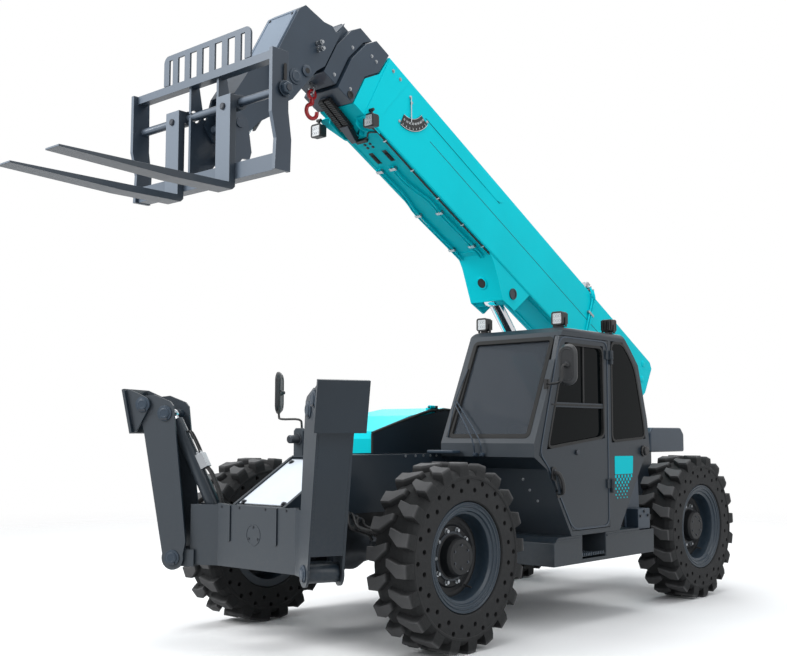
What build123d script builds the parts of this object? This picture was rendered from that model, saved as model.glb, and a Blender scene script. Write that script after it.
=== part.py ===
from build123d import *
import os
from math import atan2, cos, degrees, hypot, pi, radians, sin

# Four-section telehandler with front stabilizers, all sizes in millimetres.
# +X is the machine's left, -Y its front, +Z up, and z = 0 the ground.
# Heights and stations along the machine are measured from the middle between the axles.

# ---------------------------------------------------------------- driving sizes
mid_y = 825.0  # station of the middle between the axles

wheelbase = 3304.0
wheel_x = 981.0  # centre of a tyre from the machine's middle
tyre_od = 1250.0
tyre_w = 348.0
carcass_r = 602.0
shoulder = 45.0
shoulder_r = 552.0
lug_count = 20  # along each edge of the tread
lug_w = 44.0
lug_start = 3.0  # a lug's inner end from the tread's middle
lug_elbow = 104.0  # where a lug turns straight to the tyre's side
lug_sweep = 84.0  # how far it has run back round the tyre by then
lug_base_r = 545.0
rim_flange_r = 341.0
rim_seat_r = 322.0
rim_bore_r = 306.0
rim_inset = 20.0
disc_x = 34.0  # inner face of the wheel disc, outward from the tyre's middle
disc_t = 16.0
hub_cap_r = 130.0
spindle_r = 60.0
spindle_len = 58.0
kingpin_x = 840.0
kingpin_r = 30.0
knuckle_r = 105.0
knuckle_h = 130.0
running = 0.05  # radial clearance of a pin in its bore
seat_gap = 0.3  # gap of faces that slide on each other

frame_x = 270.0  # outer face of a chassis side plate
plate_t = 25.0
frame_bottom = 500.0
frame_top = 1290.0
frame_front = -2475.0
frame_rear = 2330.0
arch_w = 540.0
arch_top = 880.0
nose_low = 957.0
nose_y = -1960.0
cross_front = -2500.0
cross_x = 420.0
cross_bottom = 530.0
cross_top = 960.0

splay = 25.0  # the stabilizers swing in planes turned forward by this angle
stab_x = 725.0
stab_y = -2570.0
stab_z = 577.0
stab_half = 120.0  # outer face of an arm plate from the arm's middle
stab_plate = 16.0
stab_pin_r = 35.0
stab_end_r = 83.0
foot_pin = (244.0, 1070.0)  # outward and up from the arm's pivot
foot_pin_r = 25.0
ram_base = (-300.0, 270.0)
ram_pin = (80.0, 1007.0)
ram_pin_r = 22.0
ram_r = 50.0
ram_rod_r = 28.0

boom_angle = 28.8
pivot_y = 2050.0
pivot_z = 1760.0
pivot_r = 45.0
boom_half = 180.0
boom_low = -5.0
boom_high = 570.0
boom_tail = -250.0
boom_front = 4240.0
boom_wall = 10.0
lift_u = 2100.0
lift_w = -190.0
lift_base = (1640.0, 900.0)
lift_r = 95.0
lift_rod_r = 58.0
lift_barrel_len = 1660.0
lift_pin_r = 40.0
lift_eye_r = 75.0
lift_eye_half = 55.0

tilt_u = 5085.0  # carriage pivot in the boom's own directions
tilt_w = -830.0
tilt_pin_r = 32.0
tilt_base = (4887.0, -225.0)
tilt_crank = (-57.0, -188.0)  # forward and up from the carriage pivot, at rest
tilt_barrel_r = 46.0
tilt_rod_r = 27.0
neck_half = 130.0
neck_plate = 20.0

shaft_fwd = 139.0
shaft_up = 67.0
shaft_r = 28.0
carriage_half = 750.0
fork_x = 270.0
fork_w = 145.0
fork_t = 50.0
fork_len = 1171.0

cab_in = 275.0  # right-hand face of the cab
cab_out = 1150.0
cab_wall = 40.0
cab_floor = 680.0
cab_roof = 2240.0
glass_t = 6.0
door_gap = 5.0

hood_in = 290.0
hood_out = 1120.0
hood_front = -1090.0
hood_rear = 900.0
hood_wall = 12.0
bay_bottom = 520.0
bay_top = 1270.0

os.makedirs("parts", exist_ok=True)

# ---------------------------------------------------------------- working planes
wheel_r = tyre_od / 2
axle_y = wheelbase / 2
slope = radians(boom_angle)
side = Plane(origin=(0, mid_y, 0), x_dir=(0, 1, 0), z_dir=(1, 0, 0))
deck = Plane(origin=(0, mid_y, 0), x_dir=(1, 0, 0), z_dir=(0, 0, 1))
boom = Plane(
    origin=(0, mid_y + pivot_y, pivot_z),
    x_dir=(0, -cos(slope), sin(slope)),
    z_dir=(-1, 0, 0),
)


def facing(y):
    """Upright plane across the machine at station y, looking forward."""
    return Plane(origin=(0, mid_y + y, 0), x_dir=(1, 0, 0), z_dir=(0, -1, 0))


def in_world(u, w):
    """Station and height of a point given along and across the boom."""
    y = pivot_y - u * cos(slope) + w * sin(slope)
    z = pivot_z + u * sin(slope) + w * cos(slope)
    return y, z


def ram_plane(base, tip, normal_x=-1):
    """Plane in the machine's side view whose x runs from base to tip, both (y, z)."""
    run = hypot(tip[0] - base[0], tip[1] - base[1])
    direction = (0, (tip[0] - base[0]) / run, (tip[1] - base[1]) / run)
    return Plane(origin=(0, mid_y + base[0], base[1]), x_dir=direction, z_dir=(normal_x, 0, 0)), run


# ---------------------------------------------------------------- tyres and rims
shoulder_taper = degrees(atan2(carcass_r - shoulder_r, shoulder))
tread_half = tyre_w / 2 - shoulder
lug_top_r = (wheel_r**2 - lug_sweep**2) ** 0.5  # its corners reach the tyre's own radius
lug_lean = degrees(atan2((lug_sweep - lug_w / 2) / 2, carcass_r))

with BuildPart() as lug:
    with BuildSketch(Plane.XY.offset(lug_base_r)):
        with BuildLine():
            Polyline(
                (lug_start, lug_w / 2),
                (lug_start, -lug_w / 2),
                (lug_elbow, -lug_sweep),
                (tyre_w / 2 - 2, -lug_sweep),
                (tyre_w / 2 - 2, 1.3 * lug_w - lug_sweep),
                close=True,
            )
        make_face()
    extrude(amount=lug_top_r - lug_base_r)

with BuildPart() as tyre:
    # each half has one flat under each of its own lugs
    for end, twist in ((1, lug_lean), (-1, lug_lean + 180 / lug_count)):
        with BuildSketch(Plane.YZ):
            RegularPolygon(carcass_r, lug_count, rotation=twist)
        extrude(amount=end * tread_half)
        with BuildSketch(Plane.YZ.offset(end * tread_half)):
            RegularPolygon(carcass_r, lug_count, rotation=twist)
        extrude(amount=end * shoulder, taper=shoulder_taper)
    lugs = []
    for step in range(lug_count):
        turn = 360 * step / lug_count
        lugs.append(lug.part.rotate(Axis.X, turn))
        lugs.append(mirror(lug.part, about=Plane.YZ).rotate(Axis.X, turn + 180 / lug_count))
    add(lugs)
    with BuildSketch(Plane.YZ):
        RegularPolygon(rim_seat_r + seat_gap, lug_count, major_radius=False)
    extrude(amount=tyre_w, both=True, mode=Mode.SUBTRACT)
    for end in (1, -1):
        with BuildSketch(Plane.YZ.offset(end * tyre_w)):
            RegularPolygon(rim_flange_r + 1, lug_count, major_radius=False)
        extrude(amount=-end * (tyre_w / 2 + 38), mode=Mode.SUBTRACT)

rim_out = tyre_w / 2 - rim_inset
with BuildPart() as rim:
    with BuildSketch(Plane.XY):
        with BuildLine():
            Polyline(
                (rim_out, rim_flange_r),
                (rim_out - 14, rim_flange_r),
                (rim_out - 18, rim_seat_r),
                (18 - rim_out, rim_seat_r),
                (14 - rim_out, rim_flange_r),
                (-rim_out, rim_flange_r),
                (-rim_out, rim_bore_r),
                (disc_x - 14, rim_bore_r),
                (disc_x, rim_bore_r - 46),
                (disc_x, spindle_r + running),
                (disc_x + spindle_len + seat_gap, spindle_r + running),
                (disc_x + spindle_len + seat_gap, 0),
                (disc_x + 112, 0),
                (disc_x + 112, hub_cap_r - 34),
                (disc_x + 100, hub_cap_r - 6),
                (disc_x + disc_t + 8, hub_cap_r),
                (disc_x + disc_t, hub_cap_r + 12),
                (disc_x + disc_t, rim_bore_r - 50),
                (disc_x + 34, rim_bore_r - 32),
                (rim_out - 24, rim_bore_r - 6),
                (rim_out, rim_flange_r - 22),
                close=True,
            )
        make_face()
    revolve(axis=Axis.X)

wheel_corners = (  # name, side (+1 is left), station of its axle
    ("front_left", 1, -axle_y),
    ("front_right", -1, -axle_y),
    ("rear_left", 1, axle_y),
    ("rear_right", -1, axle_y),
)

for corner, hand, station in wheel_corners:
    spot = Pos(hand * wheel_x, mid_y + station, wheel_r)
    tyre_shape = tyre.part if hand > 0 else mirror(tyre.part, about=Plane.YZ)
    rim_shape = rim.part if hand > 0 else mirror(rim.part, about=Plane.YZ)
    with BuildPart() as placed_tyre:
        add(spot * tyre_shape)
    placed_tyre.part.label = f"tyre_{corner}"
    export_step(placed_tyre.part, f"parts/tyre_{corner}.step")
    with BuildPart() as placed_rim:
        add(spot * rim_shape)
    placed_rim.part.label = f"rim_{corner}"
    export_step(placed_rim.part, f"parts/rim_{corner}.step")

# ---------------------------------------------------------------- steering knuckles
pin_out = kingpin_x - wheel_x  # kingpin from the tyre's middle
fork_arm_low = knuckle_h + 6
fork_arm_t = 46.0

with BuildPart() as knuckle:
    with BuildSketch(Plane.XY.offset(-knuckle_h)):
        with Locations((pin_out, 0)):
            Circle(knuckle_r)
    extrude(amount=2 * knuckle_h)
    with BuildSketch(Plane.YZ.offset(pin_out + 62)):
        Circle(165)
    extrude(amount=disc_x - seat_gap - pin_out - 62)
    with BuildSketch(Plane.YZ.offset(pin_out)):
        Rectangle(150, 2 * knuckle_h - 40)
    extrude(amount=80)
    with BuildSketch(Plane.YZ.offset(disc_x - seat_gap)):
        Circle(spindle_r)
    extrude(amount=spindle_len)
    with BuildSketch(Plane.XY.offset(-fork_arm_low - fork_arm_t)):
        with Locations((pin_out, 0)):
            Circle(kingpin_r)
    extrude(amount=2 * (fork_arm_low + fork_arm_t))

for corner, hand, station in wheel_corners:
    spot = Pos(hand * wheel_x, mid_y + station, wheel_r)
    knuckle_shape = knuckle.part if hand > 0 else mirror(knuckle.part, about=Plane.YZ)
    with BuildPart() as placed_knuckle:
        add(spot * knuckle_shape)
    placed_knuckle.part.label = f"knuckle_{corner}"
    export_step(placed_knuckle.part, f"parts/knuckle_{corner}.step")

# ---------------------------------------------------------------- axles
beam_end = kingpin_x - knuckle_r - 10  # where the beam stops inside its fork
trunnion_r = 60.0
trunnion_half = arch_w / 2 + plate_t

for axle_name, station in (("front_axle", -axle_y), ("rear_axle", axle_y)):
    centre = Plane(origin=(0, mid_y + station, wheel_r), x_dir=(1, 0, 0), z_dir=(0, 0, 1))
    across = Plane(origin=(0, mid_y + station, wheel_r), x_dir=(0, 1, 0), z_dir=(1, 0, 0))
    with BuildPart() as axle:
        with BuildSketch(centre):
            with BuildLine():
                Polyline(
                    (0, 0),
                    (0, 165),
                    (70, 160),
                    (150, 110),
                    (230, 84),
                    (beam_end, 78),
                    (beam_end, 0),
                    close=True,
                )
            make_face()
        revolve(axis=Axis(centre.origin, (1, 0, 0)))
        for tier in (-1, 1):
            with BuildSketch(centre.offset(tier * (fork_arm_low + fork_arm_t / 2))):
                with BuildLine():
                    Polyline(
                        (beam_end - 110, -70),
                        (kingpin_x, -50),
                        (kingpin_x, 50),
                        (beam_end - 110, 70),
                        close=True,
                    )
                make_face()
                with Locations((kingpin_x, 0)):
                    Circle(50)
                with Locations((kingpin_x, 0)):
                    Circle(kingpin_r + running, mode=Mode.SUBTRACT)
            extrude(amount=fork_arm_t / 2, both=True)
        with BuildSketch(across.offset(beam_end - 110)):
            Rectangle(140, 2 * (fork_arm_low + fork_arm_t))
        extrude(amount=110)
        mirror(about=Plane.YZ)
        with BuildSketch(facing(station - trunnion_half)):
            with Locations((0, wheel_r)):
                Circle(trunnion_r)
        extrude(amount=-2 * trunnion_half)
    axle.part.label = axle_name
    export_step(axle.part, f"parts/{axle_name}.step")

# ---------------------------------------------------------------- chassis
tower_r = 140.0
lift_ear_in = lift_eye_half + 5

with BuildPart() as chassis_frame:
    # side plate with its two axle arches, the sloped nose and the boom tower
    with BuildSketch(side.offset(frame_x - plate_t)):
        with BuildLine():
            Polyline(
                (frame_front, cross_bottom),
                (frame_front, nose_low),
                (nose_y, frame_top - 20),
                (nose_y + 60, frame_top),
                (pivot_y - 620, frame_top),
                (pivot_y - tower_r - 30, pivot_z - 60),
                (pivot_y + tower_r, pivot_z - 20),
                (frame_rear, frame_top + 20),
                (frame_rear, frame_bottom + 60),
                (frame_rear - 120, frame_bottom),
                (frame_front + 500, frame_bottom),
                close=True,
            )
        make_face()
        with Locations((pivot_y, pivot_z)):
            Circle(tower_r)
        with Locations((-axle_y, arch_top - 400), (axle_y, arch_top - 400)):
            RectangleRounded(arch_w, 800, 120, mode=Mode.SUBTRACT)
    extrude(amount=plate_t)
    mirror(about=Plane.YZ)
    # cross plates that carry the axles' trunnions, and the rear plate
    for station in (-axle_y, axle_y):
        for end in (-1, 1):
            plate_y = station + end * (trunnion_half - plate_t / 2)
            with BuildSketch(facing(plate_y + plate_t / 2)):
                with Locations((0, (frame_bottom + arch_top + 20) / 2)):
                    Rectangle(2 * frame_x - 2 * plate_t, arch_top + 20 - frame_bottom)
                with Locations((0, wheel_r)):
                    Circle(trunnion_r + running, mode=Mode.SUBTRACT)
            extrude(amount=plate_t)
    with BuildSketch(facing(frame_rear)):
        with Locations((0, (frame_bottom + 60 + frame_top) / 2)):
            Rectangle(2 * frame_x - 2 * plate_t, frame_top - frame_bottom - 60)
    extrude(amount=plate_t)
    # belly plate between the axles and deck plate behind the nose
    with BuildSketch(deck.offset(frame_bottom)):
        Rectangle(2 * frame_x - 2 * plate_t, wheelbase - arch_w - 20)
    extrude(amount=12)
    with BuildSketch(deck.offset(frame_top - 20)):
        with Locations((0, nose_y + 330)):
            Rectangle(2 * frame_x - 2 * plate_t, 660)
    extrude(amount=12)
    # pins of the boom and of the lift cylinder, between spacer tubes
    with BuildSketch(side.offset(-frame_x)):
        with Locations((pivot_y, pivot_z)):
            Circle(pivot_r)
    extrude(amount=2 * frame_x)
    with BuildSketch(side.offset(boom_half + 5)):
        with Locations((pivot_y, pivot_z)):
            Circle(pivot_r + 35)
    extrude(amount=frame_x - plate_t - boom_half - 5)
    with BuildSketch(side.offset(-boom_half - 5)):
        with Locations((pivot_y, pivot_z)):
            Circle(pivot_r + 35)
    extrude(amount=-(frame_x - plate_t - boom_half - 5))
    with BuildSketch(side.offset(-frame_x)):
        with Locations(lift_base):
            Circle(lift_pin_r)
    extrude(amount=2 * frame_x)
    for hand in (1, -1):
        with BuildSketch(side.offset(hand * lift_ear_in)):
            with Locations(lift_base):
                Circle(lift_eye_r - 12)
        extrude(amount=hand * (frame_x - plate_t - lift_ear_in))
    # front cross member: centre plate, bottom and rear plate
    with BuildSketch(facing(cross_front + plate_t)):
        with BuildLine():
            Polyline(
                (0, cross_bottom),
                (cross_x, cross_bottom),
                (cross_x, cross_top - 25),
                (cross_x - 20, cross_top),
                (cross_x - 120, cross_top - 8),
                (0, cross_top - 8),
                close=True,
            )
        make_face()
    extrude(amount=plate_t)
    mirror(about=Plane.YZ)

# stabilizer planes on the left: the arm's middle plane, and plan views at a height
cos_s = cos(radians(splay))
sin_s = sin(radians(splay))
arm_side = Plane(
    origin=(stab_x, mid_y + stab_y, stab_z),
    x_dir=(cos_s, -sin_s, 0),
    z_dir=(-sin_s, -cos_s, 0),
)


def arm_plan(z):
    """Plan view at height z, x outward along the arm's plane and -y forward across it."""
    return Plane(origin=(stab_x, mid_y + stab_y, z), x_dir=(cos_s, -sin_s, 0), z_dir=(0, 0, 1))


wing_front = 75.0  # front face of a wing from the arm's middle
wing_rear = -90.0
wing_in = -340.0
wing_out = -114.0

with BuildPart() as cross_wing:
    with BuildSketch(arm_plan(cross_bottom)):
        with Locations(((wing_in + wing_out) / 2, -wing_front + 8)):
            Rectangle(wing_out - wing_in, 16)
        with Locations(((wing_in + wing_out) / 2, -wing_rear - 8)):
            Rectangle(wing_out - wing_in, 16)
    extrude(amount=cross_top - cross_bottom - 12)
    with BuildSketch(arm_plan(cross_bottom)):
        with Locations(((wing_in + wing_out) / 2, -(wing_front + wing_rear) / 2)):
            Rectangle(wing_out - wing_in, wing_front - wing_rear)
    extrude(amount=15)
    # neck and boss that the arm swings on
    with BuildSketch(arm_plan(stab_z - 58)):
        with Locations((wing_out / 2 - 20, 0)):
            Rectangle(-wing_out + 40 - 2, 2 * (stab_half - stab_plate - 8))
    extrude(amount=116)
    with BuildSketch(arm_side.offset(-(stab_half - stab_plate - 8))):
        Circle(60)
    extrude(amount=2 * (stab_half - stab_plate - 8))
    with BuildSketch(arm_side.offset(-stab_half - 12)):
        Circle(stab_pin_r)
    extrude(amount=2 * (stab_half + 12))
    # pin of the stabilizer's cylinder
    with BuildSketch(arm_side.offset(wing_rear)):
        with Locations(ram_base):
            Circle(ram_pin_r)
    extrude(amount=wing_front - wing_rear)

with BuildPart() as frame_whole:
    add(chassis_frame.part)
    add(cross_wing.part)
    add(mirror(cross_wing.part, about=Plane.YZ))
    # rear plate of the cross member, between the wings
    with BuildSketch(facing(cross_front + 190)):
        with Locations((0, (cross_bottom + cross_top) / 2 - 30)):
            Rectangle(2 * cross_x + 30, cross_top - cross_bottom - 60)
    extrude(amount=16)
    with BuildSketch(deck.offset(cross_bottom)):
        with Locations((0, cross_front + 100)):
            Rectangle(2 * cross_x, 190)
    extrude(amount=15)
    # two lashing ears with their pins on the deck
    for hand in (1, -1):
        with BuildSketch(facing(nose_y + 45)):
            with BuildLine():
                Polyline(
                    (hand * 150, frame_top - 20),
                    (hand * 245, frame_top - 20),
                    (hand * 245, frame_top + 170),
                    (hand * 225, frame_top + 190),
                    (hand * 170, frame_top + 190),
                    (hand * 150, frame_top + 170),
                    close=True,
                )
            make_face()
        extrude(amount=30)
        with BuildSketch(facing(nose_y + 60)):
            with Locations((hand * 198, frame_top + 110)):
                Circle(24)
        extrude(amount=60)
frame_whole.part.label = "chassis_frame"
export_step(frame_whole.part, "parts/chassis_frame.step")

# sloped cover over the nose, between the side plates
nose_run = hypot(nose_y - frame_front, frame_top - 20 - nose_low)
nose_rise = atan2(frame_top - 20 - nose_low, nose_y - frame_front)
nose_top = Plane(
    origin=(0, mid_y + frame_front, nose_low),
    x_dir=(0, cos(nose_rise), sin(nose_rise)),
    z_dir=(0, -sin(nose_rise), cos(nose_rise)),
)
with BuildPart() as nose_cover:
    with BuildSketch(nose_top.offset(-22)):
        with Locations((nose_run / 2 + 14, 0)):
            Rectangle(nose_run - 36, 2 * (frame_x - plate_t))
    extrude(amount=12)
nose_cover.part.label = "nose_cover"
export_step(nose_cover.part, "parts/nose_cover.step")

with BuildPart() as counterweight:
    with BuildSketch(deck.offset(620)):
        with BuildLine():
            Polyline(
                (-560, frame_rear + 26),
                (560, frame_rear + 26),
                (560, frame_rear + 90),
                (440, frame_rear + 150),
                (-440, frame_rear + 150),
                (-560, frame_rear + 90),
                close=True,
            )
        make_face()
    extrude(amount=520)
    with BuildSketch(deck.offset(620)):
        with Locations((0, frame_rear + 13)):
            Rectangle(2 * frame_x, 26)
    extrude(amount=520)
counterweight.part.label = "counterweight"
export_step(counterweight.part, "parts/counterweight.step")

hitch_bore_r = 20.0
with BuildPart() as tow_hitch:
    for level in (640, 720):
        with BuildSketch(deck.offset(level)):
            with BuildLine():
                Polyline(
                    (-70, frame_rear + 150),
                    (70, frame_rear + 150),
                    (70, frame_rear + 190),
                    (45, frame_rear + 225),
                    (-45, frame_rear + 225),
                    (-70, frame_rear + 190),
                    close=True,
                )
            make_face()
            with Locations((0, frame_rear + 190)):
                Circle(hitch_bore_r, mode=Mode.SUBTRACT)
        extrude(amount=20)
    with BuildSketch(facing(frame_rear + 166)):
        with Locations((0, 690)):
            Rectangle(180, 140)
    extrude(amount=16)
tow_hitch.part.label = "tow_hitch"
export_step(tow_hitch.part, "parts/tow_hitch.step")

# ---------------------------------------------------------------- engine bay and hood
hood_nose = bay_top + 190
hood_brow = bay_top + 322
hood_peak = bay_top + 392
hood_back = bay_top + 310
hood_peak_at = -200.0
lid_axis = (-hood_in, hood_peak + 2)  # hinge line of the hood, in the front view
lid_pin_r = 8.0
lid_hinges = (-330.0, 40.0)
with BuildPart() as engine_bay:
    with BuildSketch(deck.offset(bay_bottom)):
        with Locations((-(frame_x + hood_out) / 2, 0)):
            Rectangle(hood_out - frame_x, 2 * hood_rear)
    extrude(amount=bay_top - bay_bottom)
    with BuildSketch(deck.offset(bay_bottom + 15)):
        with Locations((-(frame_x + hood_out) / 2, 0)):
            Rectangle(hood_out - frame_x - 30, 2 * hood_rear - 30)
    extrude(amount=bay_top - bay_bottom, mode=Mode.SUBTRACT)
    # ledge in front of the bay that the hood's nose rests on
    with BuildSketch(deck.offset(bay_top - 15)):
        with Locations((-(frame_x + hood_out) / 2, (hood_front - hood_rear) / 2)):
            Rectangle(hood_out - frame_x, hood_rear + hood_front * -1 - 2 * hood_rear)
    extrude(amount=15)
    # fixed panel along the boom
    with BuildSketch(side.offset(-frame_x - 14)):
        with BuildLine():
            Polyline(
                (hood_front, bay_top - 15),
                (hood_rear, bay_top - 15),
                (hood_rear, hood_back - 20),
                (hood_peak_at, hood_peak - 22),
                (-620, hood_brow - 22),
                (hood_front, hood_nose - 20),
                close=True,
            )
        make_face()
    extrude(amount=14)
    # hinge pins of the hood, on lugs of that panel
    for station in lid_hinges:
        with BuildSketch(facing(station + 30)):
            with Locations(lid_axis):
                Circle(lid_pin_r)
        extrude(amount=100)
        with BuildSketch(facing(station + 30)):
            with Locations((-frame_x - 7, lid_axis[1] - 52)):
                Rectangle(14, 130)
            with Locations(lid_axis):
                Circle(lid_pin_r + 6)
            with Locations((lid_axis[0] + 8, lid_axis[1])):
                Rectangle(16, 2 * lid_pin_r + 10)
        extrude(amount=24)
engine_bay.part.label = "engine_bay"
export_step(engine_bay.part, "parts/engine_bay.step")

with BuildPart() as engine_block:
    with BuildSketch(deck.offset(bay_bottom + 15)):
        with Locations((-(frame_x + hood_out) / 2, 60)):
            Rectangle(460, 900)
    extrude(amount=640)
engine_block.part.label = "engine_block"
export_step(engine_block.part, "parts/engine_block.step")

with BuildPart() as engine_hood:
    with BuildSketch(side.offset(-hood_out)):
        with BuildLine():
            Polyline(
                (hood_front, bay_top + seat_gap),
                (hood_rear, bay_top + seat_gap),
                (hood_rear, hood_back),
                (hood_peak_at, hood_peak),
                (-620, hood_brow),
                (hood_front + 30, hood_nose),
                (hood_front, hood_nose - 60),
                close=True,
            )
        make_face()
    extrude(amount=hood_out - hood_in)
    outer_edge = engine_hood.edges().filter_by(Axis.X, reverse=True).group_by(Axis.X)[0]
    fillet(outer_edge.filter_by(lambda e: e.center().Z > hood_nose + 5), radius=110)
    with BuildSketch(side.offset(-hood_out + hood_wall)):
        with BuildLine():
            Polyline(
                (hood_front + hood_wall, bay_top - 20),
                (hood_rear - hood_wall, bay_top - 20),
                (hood_rear - hood_wall, hood_back - hood_wall),
                (hood_peak_at, hood_peak - hood_wall),
                (-620, hood_brow - hood_wall),
                (hood_front + 30 + hood_wall, hood_nose - 1.4 * hood_wall),
                (hood_front + hood_wall, hood_nose - 60),
                close=True,
            )
        make_face()
    extrude(amount=hood_out - hood_in - 2 * hood_wall, mode=Mode.SUBTRACT)
    # hinge eyes round the bay's pins
    for station in lid_hinges:
        with BuildSketch(facing(station)):
            with Locations(lid_axis):
                Circle(lid_pin_r + 9)
            with Locations((lid_axis[0] - 22, lid_axis[1] - 10)):
                Rectangle(30, 12)
            with Locations((lid_axis[0] - 28, lid_axis[1] - 36)):
                Rectangle(20, 60)
            with Locations(lid_axis):
                Circle(lid_pin_r + running, mode=Mode.SUBTRACT)
        extrude(amount=60)
engine_hood.part.label = "engine_hood"
export_step(engine_hood.part, "parts/engine_hood.step")

with BuildPart() as rear_tank:
    with BuildSketch(side.offset(frame_x)):
        with BuildLine():
            Polyline(
                (1560, 1275),
                (2200, 1275),
                (2200, 1440),
                (2140, 1500),
                (1600, 1500),
                (1560, 1460),
                close=True,
            )
        make_face()
    extrude(amount=430)
rear_tank.part.label = "rear_tank"
export_step(rear_tank.part, "parts/rear_tank.step")

# ---------------------------------------------------------------- cab
cab_outline = (  # station, height
    (-430.0, cab_floor),
    (-743.0, 1180.0),
    (-900.0, 1270.0),
    (-900.0, 1370.0),
    (-530.0, cab_roof - 35),
    (-490.0, cab_roof),
    (330.0, cab_roof),
    (450.0, cab_roof - 110),
    (575.0, cab_roof - 240),
    (707.0, 1560.0),
    (750.0, 1310.0),
    (620.0, 1200.0),
    (250.0, cab_floor),
)
door_top = cab_roof - 70
door_outline = (
    (-415.0, cab_floor + 40),
    (-728.0, 1195.0),
    (-835.0, 1290.0),
    (-565.0, door_top),
    (105.0, door_top),
    (105.0, cab_floor + 40),
)
door_window = (
    (-741.0, 1325.0),
    (-494.0, door_top - 45),
    (39.0, door_top - 45),
    (52.0, 1405.0),
)
quarter_window = (
    (150.0, 1370.0),
    (150.0, cab_roof - 65),
    (330.0, cab_roof - 65),
    (420.0, cab_roof - 140),
    (530.0, cab_roof - 265),
    (655.0, 1550.0),
    (680.0, 1400.0),
)
right_window = (
    (-760.0, 1400.0),
    (-480.0, cab_roof - 110),
    (330.0, cab_roof - 110),
    (530.0, cab_roof - 300),
    (650.0, 1500.0),
    (660.0, 1400.0),
)

with BuildPart() as cab_shell:
    with BuildSketch(side.offset(cab_in)):
        with BuildLine():
            Polyline(*cab_outline, close=True)
        make_face()
    extrude(amount=cab_out - cab_in)
    roof_edges = cab_shell.edges().filter_by(Axis.X, reverse=True)
    fillet(roof_edges.filter_by(lambda e: e.center().Z > cab_roof - 2), radius=35)
    with BuildSketch(side.offset(cab_in + cab_wall)):
        with BuildLine():
            Polyline(*cab_outline, close=True)
        make_face()
        offset(amount=-cab_wall, kind=Kind.INTERSECTION, mode=Mode.REPLACE)
    extrude(amount=cab_out - cab_in - 2 * cab_wall, mode=Mode.SUBTRACT)
    # door opening
    with BuildSketch(side.offset(cab_out - cab_wall - 20)):
        with BuildLine():
            Polyline(*door_outline, close=True)
        make_face()
        offset(amount=door_gap, kind=Kind.INTERSECTION, mode=Mode.REPLACE)
    extrude(amount=cab_wall + 40, mode=Mode.SUBTRACT)
    # rear quarter window and the window towards the boom
    with BuildSketch(side.offset(cab_out - cab_wall - 20)):
        with BuildLine():
            Polyline(*quarter_window, close=True)
        make_face()
    extrude(amount=cab_wall + 40, mode=Mode.SUBTRACT)
    with BuildSketch(side.offset(cab_in - 20)):
        with BuildLine():
            Polyline(*right_window, close=True)
        make_face()
    extrude(amount=cab_wall + 40, mode=Mode.SUBTRACT)

hinge_x = cab_out + 17  # door hinge
hinge_at = 132.0
hinge_foot = 34.0  # block of the rear post that carries a hinge pin
hinge_levels = (cab_floor + 300, cab_roof - 250)

screen_low = (cab_outline[3][0], cab_outline[3][1])
screen_high = (cab_outline[4][0], cab_outline[4][1])
screen_run = hypot(screen_high[0] - screen_low[0], screen_high[1] - screen_low[1])
screen_dir = (0, (screen_high[0] - screen_low[0]) / screen_run, (screen_high[1] - screen_low[1]) / screen_run)
screen = Plane(
    origin=((cab_in + cab_out) / 2, mid_y + screen_low[0], screen_low[1]),
    x_dir=screen_dir,
    z_dir=(0, -screen_dir[2], screen_dir[1]),
)
rear_glass_low = (cab_outline[9][0], cab_outline[9][1])
rear_glass_high = (cab_outline[8][0], cab_outline[8][1])
rear_run = hypot(rear_glass_high[0] - rear_glass_low[0], rear_glass_high[1] - rear_glass_low[1])
rear_dir = (
    0,
    (rear_glass_high[0] - rear_glass_low[0]) / rear_run,
    (rear_glass_high[1] - rear_glass_low[1]) / rear_run,
)
rear_light = Plane(
    origin=((cab_in + cab_out) / 2, mid_y + rear_glass_low[0], rear_glass_low[1]),
    x_dir=rear_dir,
    z_dir=(0, rear_dir[2], -rear_dir[1]),
)
screen_w = cab_out - cab_in - 120
rear_w = cab_out - cab_in - 140

with BuildPart() as cab:
    add(cab_shell.part)
    with BuildSketch(screen.offset(-cab_wall - 20)):
        with Locations((screen_run / 2, 0)):
            RectangleRounded(screen_run - 90, screen_w, 40)
    extrude(amount=cab_wall + 40, mode=Mode.SUBTRACT)
    with BuildSketch(rear_light.offset(-cab_wall - 20)):
        with Locations((rear_run / 2, 0)):
            RectangleRounded(rear_run - 60, rear_w, 40)
    extrude(amount=cab_wall + 40, mode=Mode.SUBTRACT)
    # door hinge pins on the rear post
    for level in hinge_levels:
        with BuildSketch(deck.offset(level)):
            with Locations((hinge_x, hinge_at)):
                Circle(9)
        extrude(amount=110)
        with BuildSketch(deck.offset(level)):
            with Locations((cab_out + 9, hinge_at + 10)):
                Rectangle(18, 34)
        extrude(amount=hinge_foot)
cab.part.label = "cab_shell"
export_step(cab.part, "parts/cab_shell.step")

with BuildPart() as cab_glass:
    with BuildSketch(screen.offset(-22)):
        with Locations((screen_run / 2, 0)):
            RectangleRounded(screen_run - 90, screen_w, 40)
    extrude(amount=glass_t)
    with BuildSketch(rear_light.offset(-22)):
        with Locations((rear_run / 2, 0)):
            RectangleRounded(rear_run - 60, rear_w, 40)
    extrude(amount=glass_t)
    with BuildSketch(side.offset(cab_out - 22)):
        with BuildLine():
            Polyline(*quarter_window, close=True)
        make_face()
    extrude(amount=glass_t)
    with BuildSketch(side.offset(cab_in + 16)):
        with BuildLine():
            Polyline(*right_window, close=True)
        make_face()
    extrude(amount=glass_t)
cab_glass.part.label = "cab_glass"
export_step(cab_glass.part, "parts/cab_glass.step")

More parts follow.
